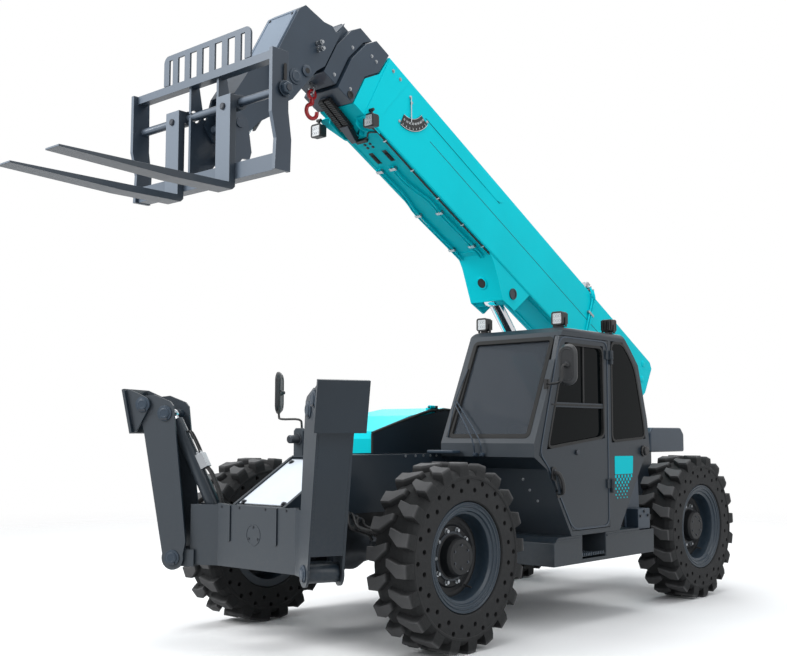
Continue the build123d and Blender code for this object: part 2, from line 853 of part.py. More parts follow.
with BuildPart() as cab_door:
    with BuildSketch(side.offset(cab_out - cab_wall)):
        with BuildLine():
            Polyline(*door_outline, close=True)
        make_face()
        with BuildLine():
            Polyline(*door_window, close=True)
        make_face(mode=Mode.SUBTRACT)
        with Locations((-320, 1655)):
            Rectangle(760, 36, mode=Mode.ADD)
        with BuildLine():
            Polyline(*door_outline, close=True)
        make_face(mode=Mode.INTERSECT)
    extrude(amount=cab_wall)
    # hinge straps, each with its barrel round a pin of the rear post
    for level in hinge_levels:
        with BuildSketch(deck.offset(level + hinge_foot + 2)):
            with Locations((hinge_x, hinge_at)):
                Circle(16)
            with Locations((cab_out + 6, hinge_at - 32)):
                Rectangle(12, 64)
            with Locations((hinge_x, hinge_at)):
                Circle(9 + running, mode=Mode.SUBTRACT)
        extrude(amount=70)
    # pull handle
    with BuildSketch(side.offset(cab_out)):
        with Locations((-650, 1150), (-610, 1010)):
            Circle(16)
    extrude(amount=34)
    with BuildSketch(side.offset(cab_out + 24)):
        with BuildLine():
            Polyline((-672, 1150), (-628, 1150), (-592, 1010), (-632, 1004), close=True)
        make_face()
    extrude(amount=14)
cab_door.part.label = "cab_door"
export_step(cab_door.part, "parts/cab_door.step")

with BuildPart() as door_glass:
    with BuildSketch(side.offset(cab_out - 26)):
        with BuildLine():
            Polyline(*door_window, close=True)
        make_face()
        with Locations((-320, 1655)):
            Rectangle(900, 36, mode=Mode.SUBTRACT)
    extrude(amount=glass_t)
door_glass.part.label = "door_glass"
export_step(door_glass.part, "parts/door_glass.step")

seat_x = (cab_in + cab_out) / 2
with BuildPart() as driver_seat:
    with BuildSketch(deck.offset(cab_floor + cab_wall)):
        with Locations((seat_x, 0)):
            RectangleRounded(380, 380, 30)
    extrude(amount=300)
    with BuildSketch(deck.offset(cab_floor + cab_wall + 300)):
        with Locations((seat_x, 20)):
            RectangleRounded(500, 500, 70)
    extrude(amount=130)
    with BuildSketch(side.offset(seat_x - 230)):
        with BuildLine():
            Polyline((170, 1100), (270, 1100), (380, 1690), (300, 1710), (170, 1180), close=True)
        make_face()
    extrude(amount=460)
driver_seat.part.label = "driver_seat"
export_step(driver_seat.part, "parts/driver_seat.step")

with BuildPart() as steering_console:
    with BuildSketch(side.offset(seat_x - 110)):
        with BuildLine():
            Polyline(
                (-370, cab_floor + cab_wall),
                (-290, cab_floor + cab_wall),
                (-340, 1330),
                (-430, 1370),
                (-520, 1330),
                (-520, 1000),
                close=True,
            )
        make_face()
    extrude(amount=220)
    wheel_tilt = Plane(
        origin=(seat_x, mid_y - 360, 1420),
        x_dir=(1, 0, 0),
        z_dir=(0, sin(radians(30)), cos(radians(30))),
    )
    with BuildSketch(wheel_tilt.offset(-100)):
        Circle(22)
    extrude(amount=112)
    with BuildSketch(wheel_tilt):
        Circle(190)
        Circle(166, mode=Mode.SUBTRACT)
        Rectangle(350, 30)
        Circle(40)
    extrude(amount=16)
steering_console.part.label = "steering_console"
export_step(steering_console.part, "parts/steering_console.step")

# boxes and tread under the door
with BuildPart() as cab_steps:
    with BuildSketch(side.offset(frame_x)):
        with BuildLine():
            Polyline(
                (-660, 470),
                (790, 470),
                (790, 650),
                (560, 650),
                (560, cab_floor),
                (-600, cab_floor),
                (-660, 640),
                close=True,
            )
        make_face()
        with Locations((-120, 590)):
            Rectangle(330, 180, mode=Mode.SUBTRACT)
    extrude(amount=cab_out - frame_x)
    with BuildSketch(deck.offset(512)):
        with Locations((cab_out - 130, -120)):
            Rectangle(240, 330)
    extrude(amount=10)
cab_steps.part.label = "cab_steps"
export_step(cab_steps.part, "parts/cab_steps.step")

# ---------------------------------------------------------------- mirrors and lamps
mirror_reach = 1320.0  # middle of a mirror from the machine's middle
with BuildPart() as mirrors:
    with BuildSketch(side.offset(cab_out)):
        with Locations((-719, 1855)):
            Rectangle(82, 70)
    extrude(amount=16)
    with BuildSketch(side.offset(cab_out)):
        with Locations((-735, 1860)):
            Circle(10)
    extrude(amount=mirror_reach - cab_out)
    with BuildSketch(deck.offset(1850)):
        with Locations((mirror_reach, -735)):
            Circle(10)
    extrude(amount=150)
    with BuildSketch(facing(-722)):
        with Locations((mirror_reach, 2000)):
            SlotCenterToCenter(170, 140, rotation=90)
    extrude(amount=34)
    with BuildSketch(facing(hood_front)):
        with Locations((-hood_out + 30, bay_top - 15)):
            Rectangle(50, 26)
    extrude(amount=20)
    with BuildSketch(facing(hood_front - 8)):
        with Locations((-hood_out + 30, bay_top + 40)):
            Rectangle(50, 136)
    extrude(amount=12)
    with BuildSketch(deck.offset(bay_top + 60)):
        with Locations((-hood_out + 30, hood_front - 20)):
            Circle(12)
    extrude(amount=230)
    with BuildSketch(side.offset(-hood_out + 42)):
        with Locations((hood_front - 20, 1548)):
            Circle(12)
    extrude(amount=hood_out - mirror_reach - 54)
    with BuildSketch(deck.offset(1536)):
        with Locations((-mirror_reach, hood_front - 20)):
            Circle(12)
    extrude(amount=180)
    with BuildSketch(facing(hood_front - 4)):
        with Locations((-mirror_reach, 1790)):
            SlotCenterToCenter(170, 140, rotation=90)
    extrude(amount=34)
mirrors.part.label = "mirrors"
export_step(mirrors.part, "parts/mirrors.step")

with BuildPart() as cab_lamps:
    for lamp_x, lamp_y in ((cab_in + 70, -440), (cab_out - 80, -440), (cab_out - 90, 270)):
        with BuildSketch(deck.offset(cab_roof)):
            with Locations((lamp_x, lamp_y)):
                Rectangle(50, 40)
        extrude(amount=26)
        with BuildSketch(facing(lamp_y + 30)):
            with Locations((lamp_x, cab_roof + 72)):
                RectangleRounded(100, 100, 18)
        extrude(amount=60)
cab_lamps.part.label = "cab_lamps"
export_step(cab_lamps.part, "parts/cab_lamps.step")

# ---------------------------------------------------------------- stabilizers
foot_far = 382.0
arm_outline = (  # outward, up from the pivot
    (-80.0, 20.0),
    (-100.0, 110.0),
    (14.0, 1060.0),
    (40.0, 1090.0),
    (170.0, 1139.0),
    (262.0, 1130.0),
    (298.0, 1075.0),
    (280.0, 1010.0),
    (244.0, 883.0),
    (66.0, -40.0),
    (0.0, -stab_end_r),
)
ram_angle = degrees(atan2(ram_pin[1] - ram_base[1], ram_pin[0] - ram_base[0]))
ram_len = hypot(ram_pin[0] - ram_base[0], ram_pin[1] - ram_base[1])
ram_dir = (
    cos_s * cos(radians(ram_angle)),
    -sin_s * cos(radians(ram_angle)),
    sin(radians(ram_angle)),
)
ram_origin = (
    stab_x + cos_s * ram_base[0],
    mid_y + stab_y - sin_s * ram_base[0],
    stab_z + ram_base[1],
)
ram_side = Plane(origin=ram_origin, x_dir=ram_dir, z_dir=(-sin_s, -cos_s, 0))
ram_axis = Axis(ram_origin, ram_dir)
ram_eye_r = 36.0
ram_barrel_len = ram_len - ram_eye_r - 18  # the gland stops short of the rod's eye

with BuildPart() as stab_arm:
    for face_at in (-stab_half, stab_half - stab_plate):
        with BuildSketch(arm_side.offset(face_at)):
            with BuildLine():
                Polyline(*arm_outline, close=True)
            make_face()
            Circle(stab_end_r)
            Circle(stab_pin_r + running, mode=Mode.SUBTRACT)
            with Locations(foot_pin):
                Circle(foot_pin_r + running, mode=Mode.SUBTRACT)
        extrude(amount=stab_plate)
    # outer web between the plates
    with BuildSketch(arm_side.offset(-stab_half + stab_plate)):
        with BuildLine():
            Polyline((92, 110), (243, 880), (231, 882), (80, 112), close=True)
        make_face()
    extrude(amount=2 * (stab_half - stab_plate))
    # stub tubes towards the cylinder's eye
    for hand in (1, -1):
        with BuildSketch(arm_side.offset(hand * 42)):
            with Locations(ram_pin):
                Circle(34)
        extrude(amount=hand * (stab_half - stab_plate - 42))

with BuildPart() as stab_foot:
    for face_at in (-stab_half - 4 - stab_plate, stab_half + 4):
        with BuildSketch(arm_side.offset(face_at)):
            with BuildLine():
                Polyline(
                    (foot_far - 90, 876),
                    (foot_far - 70, 872),
                    (foot_far, 1168),
                    (foot_far - 20, 1180),
                    (foot_pin[0] - 20, foot_pin[1] + 52),
                    (foot_pin[0] - 46, foot_pin[1] - 30),
                    close=True,
                )
            make_face()
            with Locations(foot_pin):
                Circle(56)
        extrude(amount=stab_plate)
    with BuildSketch(arm_side.offset(-167)):
        with BuildLine():
            Polyline((312, 868), (332, 862), (402, 1176), (382, 1182), close=True)
        make_face()
    extrude(amount=334)
    with BuildSketch(arm_side.offset(-stab_half - 24)):
        with Locations(foot_pin):
            Circle(foot_pin_r)
    extrude(amount=2 * (stab_half + 24))

ram_bore_r = ram_r - 8
with BuildPart() as stab_barrel:
    with BuildSketch(ram_side):
        with BuildLine():
            Polyline(
                (60, 0),
                (60, ram_r),
                (ram_barrel_len, ram_r),
                (ram_barrel_len, ram_rod_r + running),
                (ram_barrel_len - 40, ram_rod_r + running),
                (ram_barrel_len - 40, ram_bore_r),
                (84, ram_bore_r),
                (84, 0),
                close=True,
            )
        make_face()
    revolve(axis=ram_axis)
    with BuildSketch(ram_side.offset(-34)):
        Circle(42)
        with Locations((40, 0)):
            Rectangle(60, 70)
    extrude(amount=68)
    with BuildSketch(ram_side.offset(-60)):
        Circle(ram_pin_r + running)
    extrude(amount=120, mode=Mode.SUBTRACT)

with BuildPart() as stab_rod:
    with BuildSketch(ram_side):
        with BuildLine():
            Polyline(
                (90, 0),
                (90, ram_bore_r - running),
                (120, ram_bore_r - running),
                (120, ram_rod_r),
                (ram_len - 20, ram_rod_r),
                (ram_len - 20, 0),
                close=True,
            )
        make_face()
    revolve(axis=ram_axis)
    with BuildSketch(ram_side.offset(-36)):
        with Locations((ram_len, 0)):
            Circle(ram_eye_r)
    extrude(amount=72)

for hand_name, hand in (("left", 1), ("right", -1)):
    for piece_name, piece in (
        ("stabilizer_arm", stab_arm),
        ("stabilizer_foot", stab_foot),
        ("stabilizer_barrel", stab_barrel),
        ("stabilizer_rod", stab_rod),
    ):
        with BuildPart() as placed:
            add(piece.part if hand > 0 else mirror(piece.part, about=Plane.YZ))
        placed.part.label = f"{piece_name}_{hand_name}"
        export_step(placed.part, f"parts/{piece_name}_{hand_name}.step")

# ---------------------------------------------------------------- boom
boom_tubes = (  # name, half width, low and high side, wall, rear end, front end
    ("middle", 155.0, 25.0, 540.0, 9.0, 350.0, 4400.0),
    ("inner", 131.0, 48.0, 516.0, 9.0, 380.0, 4560.0),
    ("head", 108.0, 71.0, 493.0, 9.0, 410.0, 4700.0),
)


def tube_section(half, low, high):
    """Rectangle of a boom section, drawn on a plane across the boom."""
    with Locations((0, (low + high) / 2)):
        Rectangle(2 * half, high - low)


def across_boom(u):
    """Plane across the boom at u, x to the machine's left and y up the section."""
    return Plane(
        origin=(0, mid_y + pivot_y - u * cos(slope), pivot_z + u * sin(slope)),
        x_dir=(1, 0, 0),
        z_dir=(0, -cos(slope), sin(slope)),
    )


with BuildPart() as boom_outer:
    with BuildSketch(boom.offset(-boom_half)):
        with BuildLine():
            Polyline(
                (boom_tail, 250),
                (boom_tail, boom_high - 40),
                (boom_tail + 60, boom_high),
                (boom_front, boom_high),
                (boom_front + 20, boom_high - 190),
                (boom_front + 120, boom_high - 330),
                (boom_front + 120, boom_low),
                (130, boom_low),
                (80, boom_low - 80),
                (-80, boom_low - 80),
                (-120, boom_low),
                close=True,
            )
        make_face()
    extrude(amount=2 * boom_half)
    # hollow through, with sliding pads at the mouth
    with BuildSketch(across_boom(-120)):
        tube_section(boom_half - boom_wall, boom_low + boom_wall, boom_high - boom_wall)
    extrude(amount=boom_front + 60, mode=Mode.SUBTRACT)
    with BuildSketch(across_boom(boom_front - 70)):
        tube_section(
            boom_tubes[0][1] + seat_gap, boom_tubes[0][2] - seat_gap, boom_tubes[0][3] + seat_gap
        )
    extrude(amount=400, mode=Mode.SUBTRACT)
    # pivot bore with its tube between the tail plates
    with BuildSketch(boom.offset(-boom_half)):
        Circle(pivot_r + 30)
    extrude(amount=2 * boom_half)
    with BuildSketch(boom.offset(-boom_half - 20)):
        Circle(pivot_r + running)
    extrude(amount=2 * boom_half + 40, mode=Mode.SUBTRACT)
    # doubler plates at the tail
    for hand in (1, -1):
        with BuildSketch(boom.offset(hand * boom_half)):
            with BuildLine():
                Polyline(
                    (boom_tail + 30, 260),
                    (boom_tail + 30, boom_high - 40),
                    (400, boom_high - 40),
                    (485, 300),
                    (130, 20),
                    (60, -70),
                    (-60, -70),
                    (-100, 20),
                    close=True,
                )
            make_face()
            Circle(pivot_r + running, mode=Mode.SUBTRACT)
        extrude(amount=hand * 4.5)
    # bracket for the lift cylinder
    for hand in (1, -1):
        with BuildSketch(boom.offset(hand * (boom_half - 25))):
            with BuildLine():
                Polyline(
                    (lift_u - 240, boom_low + 2),
                    (lift_u - 120, lift_w - 60),
                    (lift_u + 60, lift_w - 70),
                    (lift_u + 300, boom_low - 60),
                    (lift_u + 400, boom_low + 2),
                    close=True,
                )
            make_face()
        extrude(amount=hand * 20)
        with BuildSketch(boom.offset(hand * (lift_eye_half + 10))):
            with Locations((lift_u, lift_w)):
                Circle(62)
        extrude(amount=hand * (boom_half - 25 - lift_eye_half - 10))
boom_outer.part.label = "boom_outer"
export_step(boom_outer.part, "parts/boom_outer.step")

for number, (tube_name, half, low, high, wall, rear, front) in enumerate(boom_tubes):
    around = boom_tubes[number - 1] if number else ("", boom_half, boom_low, boom_high, boom_wall)
    room_half = around[1] - around[4] - seat_gap
    room_low = around[2] + around[4] + seat_gap
    room_high = around[3] - around[4] - seat_gap
    with BuildPart() as section:
        with BuildSketch(across_boom(rear)):
            tube_section(half, low, high)
        extrude(amount=front - rear)
        # rear sliding pads fill the room in the section around
        with BuildSketch(across_boom(rear)):
            tube_section(room_half, room_low, room_high)
        extrude(amount=120)
        if tube_name == "middle":
            with BuildSketch(boom.offset(-boom_half - 4)):
                with BuildLine():
                    Polyline(
                        (boom_front + 12, boom_high + 8),
                        (boom_front + 170, boom_high + 8),
                        (boom_front + 240, boom_high - 90),
                        (boom_front + 300, boom_high - 300),
                        (boom_front + 300, boom_low - 10),
                        (boom_front + 132, boom_low - 10),
                        (boom_front + 132, boom_high - 326),
                        (boom_front + 32, boom_high - 186),
                        close=True,
                    )
                make_face()
            extrude(amount=2 * boom_half + 8)
        if tube_name == "inner":
            with BuildSketch(boom.offset(-half - 30)):
                with BuildLine():
                    Polyline(
                        (boom_front + 185, boom_high - 8),
                        (boom_front + 330, boom_high - 8),
                        (boom_front + 390, boom_high - 90),
                        (boom_front + 450, boom_high - 300),
                        (boom_front + 450, boom_low + 12),
                        (boom_front + 312, boom_low + 12),
                        (boom_front + 312, boom_high - 296),
                        (boom_front + 252, boom_high - 86),
                        close=True,
                    )
                make_face()
            extrude(amount=2 * half + 60)
        if number < 2:
            inside = boom_tubes[number + 1]
            with BuildSketch(across_boom(rear - 10)):
                tube_section(half - wall, low + wall, high - wall)
            extrude(amount=front - rear - 60, mode=Mode.SUBTRACT)
            with BuildSketch(across_boom(front - 90)):
                tube_section(inside[1] + seat_gap, inside[2] - seat_gap, inside[3] + seat_gap)
            extrude(amount=400, mode=Mode.SUBTRACT)
        else:
            with BuildSketch(across_boom(rear - 10)):
                tube_section(half - wall, low + wall, high - wall)
            extrude(amount=front - rear - 60, mode=Mode.SUBTRACT)
            # head plates, box and gooseneck
            for hand in (1, -1):
                with BuildSketch(boom.offset(hand * 150)):
                    with BuildLine():
                        Polyline(
                            (4706, 400),
                            (4740, 334),
                            (4795, 351),
                            (4870, 317),
                            (5060, 293),
                            (5090, 230),
                            (5090, -222),
                            (4900, -520),
                            (4820, -380),
                            (4750, -50),
                            (4706, 40),
                            close=True,
                        )
                    make_face()
                extrude(amount=hand * 20)
            with BuildSketch(boom.offset(-150)):
                with BuildLine():
                    Polyline(
                        (4700, 480), (4740, 334), (5060, 293), (5090, 230), (5090, 60), (4700, 60),
                        close=True,
                    )
                make_face()
            extrude(amount=300)
            with BuildSketch(boom.offset(-150)):
                Polygon((5070, 80), (5090, 80), (5090, -222), (5070, -222), align=None)
            extrude(amount=300)
            for hand in (1, -1):
                with BuildSketch(boom.offset(hand * (neck_half - neck_plate))):
                    with BuildLine():
                        Polyline(
                            (5090, 80),
                            (5090, -222),
                            (5190, -460),
                            (5205, -660),
                            (5158, -860),
                            (5040, -905),
                            (4990, -850),
                            (4951, -700),
                            (4880, -573),
                            (4850, -400),
                            (4850, 80),
                            close=True,
                        )
                    make_face()
                    with Locations((tilt_u, tilt_w)):
                        Circle(tilt_pin_r + running, mode=Mode.SUBTRACT)
                extrude(amount=hand * neck_plate)
            with BuildSketch(boom.offset(-neck_half + neck_plate)):
                Polygon(
                    (5070, -215), (5090, -222), (5190, -460), (5205, -660),
                    (5185, -662), (5170, -466), align=None,
                )
            extrude(amount=2 * (neck_half - neck_plate))
            with BuildSketch(boom.offset(-150)):
                with Locations(tilt_base):
                    Circle(28)
            extrude(amount=300)
    section.part.label = f"boom_{tube_name}"
    export_step(section.part, f"parts/boom_{tube_name}.step")

# ---------------------------------------------------------------- lift cylinder
lift_tip = in_world(lift_u, lift_w)
lift_plane, lift_len = ram_plane(lift_base, lift_tip)
lift_axis = Axis(lift_plane.origin, lift_plane.x_dir)
lift_bore_r = lift_r - 14
with BuildPart() as lift_barrel:
    with BuildSketch(lift_plane):
        with BuildLine():
            Polyline(
                (110, 0),
                (110, lift_r),
                (lift_barrel_len, lift_r),
                (lift_barrel_len, lift_rod_r + running),
                (lift_barrel_len - 70, lift_rod_r + running),
                (lift_barrel_len - 70, lift_bore_r),
                (150, lift_bore_r),
                (150, 0),
                close=True,
            )
        make_face()
    revolve(axis=lift_axis)
    with BuildSketch(lift_plane.offset(-lift_eye_half)):
        Circle(lift_eye_r)
        with Locations((60, 0)):
            Rectangle(120, 1.6 * lift_eye_r)
    extrude(amount=2 * lift_eye_half)
    with BuildSketch(lift_plane.offset(-lift_eye_half - 20)):
        Circle(lift_pin_r + running)
    extrude(amount=2 * lift_eye_half + 40, mode=Mode.SUBTRACT)
lift_barrel.part.label = "lift_barrel"
export_step(lift_barrel.part, "parts/lift_barrel.step")

with BuildPart() as lift_rod:
    with BuildSketch(lift_plane):
        with BuildLine():
            Polyline(
                (lift_len - 1650, 0),
                (lift_len - 1650, lift_bore_r - running),
                (lift_len - 1570, lift_bore_r - running),
                (lift_len - 1570, lift_rod_r),
                (lift_len - 40, lift_rod_r),
                (lift_len - 40, 0),
                close=True,
            )
        make_face()
    revolve(axis=lift_axis)
    with BuildSketch(lift_plane.offset(-lift_eye_half)):
        with Locations((lift_len, 0)):
            Circle(62)
    extrude(amount=2 * lift_eye_half)
lift_rod.part.label = "lift_rod"
export_step(lift_rod.part, "parts/lift_rod.step")

# ---------------------------------------------------------------- carriage
hinge_y, hinge_z = in_world(tilt_u, tilt_w)
load = Plane(origin=(0, mid_y + hinge_y, hinge_z), x_dir=(0, -1, 0), z_dir=(-1, 0, 0))
hanger_in = neck_half + 5
hanger_t = 22.0
bar_rear = 110.0
bar_front = shaft_fwd + 40 - seat_gap


def load_front(forward):
    """Upright plane across the carriage, a distance forward of its pivot."""
    return Plane(origin=(0, mid_y + hinge_y - forward, hinge_z), x_dir=(1, 0, 0), z_dir=(0, -1, 0))


with BuildPart() as carriage:
    for hand in (1, -1):
        # end post
        with BuildSketch(load.offset(hand * (carriage_half - 30))):
            with BuildLine():
                Polyline(
                    (234, 312),
                    (234, -90),
                    (195, -248),
                    (205, -442),
                    (80, -442),
                    (74, -240),
                    (100, -70),
                    (104, 312),
                    close=True,
                )
            make_face()
        extrude(amount=hand * 30)
        # hanger plate from the bars to the pivot and the tilt cylinder
        with BuildSketch(load.offset(hand * hanger_in)):
            with BuildLine():
                Polyline(
                    (bar_front, 312),
                    (bar_front - 60, 312),
                    (70, 60),
                    (0, 76),
                    (-66, 38),
                    (-76, -20),
                    (tilt_crank[0] - 46, tilt_crank[1] + 10),
                    (tilt_crank[0] - 30, tilt_crank[1] - 42),
                    (tilt_crank[0] + 30, tilt_crank[1] - 46),
                    (90, -400),
                    (90, -438),
                    (bar_front, -438),
                    close=True,
                )
            make_face()
            with Locations((shaft_fwd, shaft_up)):
                Circle(shaft_r + 14, mode=Mode.SUBTRACT)
        extrude(amount=hand * hanger_t)
        with BuildSketch(load.offset(hand * 46)):
            with Locations(tilt_crank):
                Circle(30)
        extrude(amount=hand * (hanger_in - 46))
    # top and bottom bars
    with BuildSketch(load.offset(-carriage_half + 10)):
        with BuildLine():
            Polyline((bar_front + 20, 257), (bar_front + 20, 312), (bar_rear + 20, 312), (bar_rear + 20, 257), close=True)
        make_face()
        with BuildLine():
            Polyline((bar_front, -438), (bar_front, -333), (90, -333), (90, -438), close=True)
        make_face()
    extrude(amount=2 * carriage_half - 20)
    # fork shaft through the end posts
    with BuildSketch(load.offset(-carriage_half - 12)):
        with Locations((shaft_fwd, shaft_up)):
            Circle(shaft_r)
    extrude(amount=2 * carriage_half + 24)
    # pivot pin
    with BuildSketch(load.offset(-hanger_in - hanger_t - 10)):
        Circle(tilt_pin_r)
    extrude(amount=2 * (hanger_in + hanger_t + 10))
    # load guard
    with BuildSketch(load_front(bar_rear + 45)):
        with Locations((0, 312 + 104)):
            RectangleRounded(924, 208 + 40, 50)
        with Locations((0, 312 - 10)):
            Rectangle(1000, 60, mode=Mode.SUBTRACT)
        with Locations((0, 312 + 88)):
            Rectangle(924 - 120, 208, mode=Mode.SUBTRACT)
        with GridLocations(133, 0, 6, 1):
            with Locations((0, 312 + 100)):
                Rectangle(60, 220)
    extrude(amount=14)
carriage.part.label = "carriage"
export_step(carriage.part, "parts/carriage.step")

for hand_name, hand in (("left", 1), ("right", -1)):
    with BuildPart() as pallet_fork:
        with BuildSketch(load.offset(-hand * fork_x - fork_w / 2)):
            with BuildLine():
                Polyline(
                    (shaft_fwd + 40, shaft_up + 40),
                    (shaft_fwd + 40 + fork_t, shaft_up + 40),
                    (shaft_fwd + 40 + fork_t, -463),
                    (shaft_fwd + 40 + fork_t + fork_len, -463),
                    (shaft_fwd + 40 + fork_t + fork_len, -475),
                    (shaft_fwd + 500, -508),
                    (shaft_fwd + 60, -508),
                    (shaft_fwd + 40, -488),
                    close=True,
                )
            make_face()
            with Locations((shaft_fwd, shaft_up)):
                Circle(48)
            with Locations((shaft_fwd + 24, shaft_up)):
                Rectangle(40, 80)
            with Locations((shaft_fwd, shaft_up)):
                Circle(shaft_r + running, mode=Mode.SUBTRACT)
        extrude(amount=fork_w)
        with BuildSketch(load.offset(-hand * fork_x - fork_w / 2)):
            with Locations((shaft_fwd, shaft_up)):
                Circle(48)
                Circle(shaft_r + running, mode=Mode.SUBTRACT)
        extrude(amount=fork_w)
    pallet_fork.part.label = f"fork_{hand_name}"
    export_step(pallet_fork.part, f"parts/fork_{hand_name}.step")

# ---------------------------------------------------------------- tilt cylinder
tilt_foot = in_world(*tilt_base)
tilt_tip = (hinge_y - tilt_crank[0], hinge_z + tilt_crank[1])
tilt_plane, tilt_len = ram_plane(tilt_foot, tilt_tip)
tilt_axis = Axis(tilt_plane.origin, tilt_plane.x_dir)
tilt_bore_r = tilt_barrel_r - 8
tilt_barrel_len = 455.0
with BuildPart() as tilt_barrel:
    with BuildSketch(tilt_plane):
        with BuildLine():
            Polyline(
                (34, 0),
                (34, tilt_barrel_r),
                (tilt_barrel_len, tilt_barrel_r),
                (tilt_barrel_len, tilt_rod_r + running),
                (tilt_barrel_len - 40, tilt_rod_r + running),
                (tilt_barrel_len - 40, tilt_bore_r),
                (56, tilt_bore_r),
                (56, 0),
                close=True,
            )
        make_face()
    revolve(axis=tilt_axis)
    with BuildSketch(tilt_plane.offset(-50)):
        Circle(46)
        with Locations((35, 0)):
            Rectangle(50, 80)
    extrude(amount=100)
    with BuildSketch(tilt_plane.offset(-60)):
        Circle(28 + running)
    extrude(amount=120, mode=Mode.SUBTRACT)
tilt_barrel.part.label = "tilt_barrel"
export_step(tilt_barrel.part, "parts/tilt_barrel.step")

with BuildPart() as tilt_rod:
    with BuildSketch(tilt_plane):
        with BuildLine():
            Polyline(
                (tilt_len - 455, 0),
                (tilt_len - 455, tilt_bore_r - running),
                (tilt_len - 425, tilt_bore_r - running),
                (tilt_len - 425, tilt_rod_r),
                (tilt_len - 20, tilt_rod_r),
                (tilt_len - 20, 0),
                close=True,
            )
        make_face()
    revolve(axis=tilt_axis)
    with BuildSketch(tilt_plane.offset(-41)):
        with Locations((tilt_len, 0)):
            Circle(40)
    extrude(amount=82)
tilt_rod.part.label = "tilt_rod"
export_step(tilt_rod.part, "parts/tilt_rod.step")
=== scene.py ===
# %% [markdown]
# # A telehandler, dressed in Blender
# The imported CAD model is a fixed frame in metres: +X is the machine's left, -Y its front, +Z up.
# Each node already has its true place and shape. The cells below give every node a real finish and
# add what CAD leaves out: worked edges, bolts, seals, lamps, hoses, tread and trim.

import math

import bmesh
import bpy
from mathutils import Matrix, Vector


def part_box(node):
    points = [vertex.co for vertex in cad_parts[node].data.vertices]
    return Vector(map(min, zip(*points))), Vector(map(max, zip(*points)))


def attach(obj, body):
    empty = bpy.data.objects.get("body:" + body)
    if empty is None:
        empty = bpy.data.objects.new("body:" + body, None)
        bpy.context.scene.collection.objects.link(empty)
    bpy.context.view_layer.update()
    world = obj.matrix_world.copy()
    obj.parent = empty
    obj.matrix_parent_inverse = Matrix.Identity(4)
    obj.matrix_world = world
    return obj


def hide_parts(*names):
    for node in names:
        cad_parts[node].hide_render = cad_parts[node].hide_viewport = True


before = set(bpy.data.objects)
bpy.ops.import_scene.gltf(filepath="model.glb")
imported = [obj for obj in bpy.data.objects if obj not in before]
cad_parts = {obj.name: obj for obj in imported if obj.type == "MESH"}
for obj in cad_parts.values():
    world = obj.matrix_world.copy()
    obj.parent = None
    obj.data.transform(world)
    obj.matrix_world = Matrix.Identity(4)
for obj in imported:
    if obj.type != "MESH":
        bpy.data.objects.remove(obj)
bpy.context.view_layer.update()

# %% [markdown]
# ## Shader maths as formulas
# A finish is a formula on the surface's own coordinates: dust grows towards the ground, paint varies
# slowly, rubber is grainy. Linking dozens of Math nodes by hand hides that formula, so `Wire` wraps a
# socket and lets + - * and powers add the nodes. `Finish.node` makes every other node.

# %% Wire and Finish
class Wire:
    """One value on its way between shader nodes. Sums on it add Math nodes."""

    def __init__(self, finish, socket):
        self.finish = finish
        self.socket = socket

    def maths(self, operation, *values):
        return self.finish.node("ShaderNodeMath", {"operation": operation}, values)

    def __add__(self, other):
        return self.maths("ADD", self, other)

    def __sub__(self, other):
        return self.maths("SUBTRACT", self, other)

    def __rsub__(self, other):
        return self.maths("SUBTRACT", other, self)

    def __mul__(self, other):
        return self.maths("MULTIPLY", self, other)

    def __pow__(self, other):
        return self.maths("POWER", self, other)

    def __abs__(self):
        return self.maths("ABSOLUTE", self)

    __radd__ = __add__
    __rmul__ = __mul__

    def between(self, low, high):
        """0 below low, 1 above high, smooth in the middle."""
        settings = {"interpolation_type": "SMOOTHSTEP"}
        return self.finish.node("ShaderNodeMapRange", settings, {0: self, 1: low, 2: high})


def chart(red, green, blue):
    """Linear RGBA of a colour that a paint chart gives as 0 to 255."""
    parts = [value / 255 for value in (red, green, blue)]
    return tuple(p / 12.92 if p <= 0.04045 else ((p + 0.055) / 1.055) ** 2.4 for p in parts) + (1.0,)


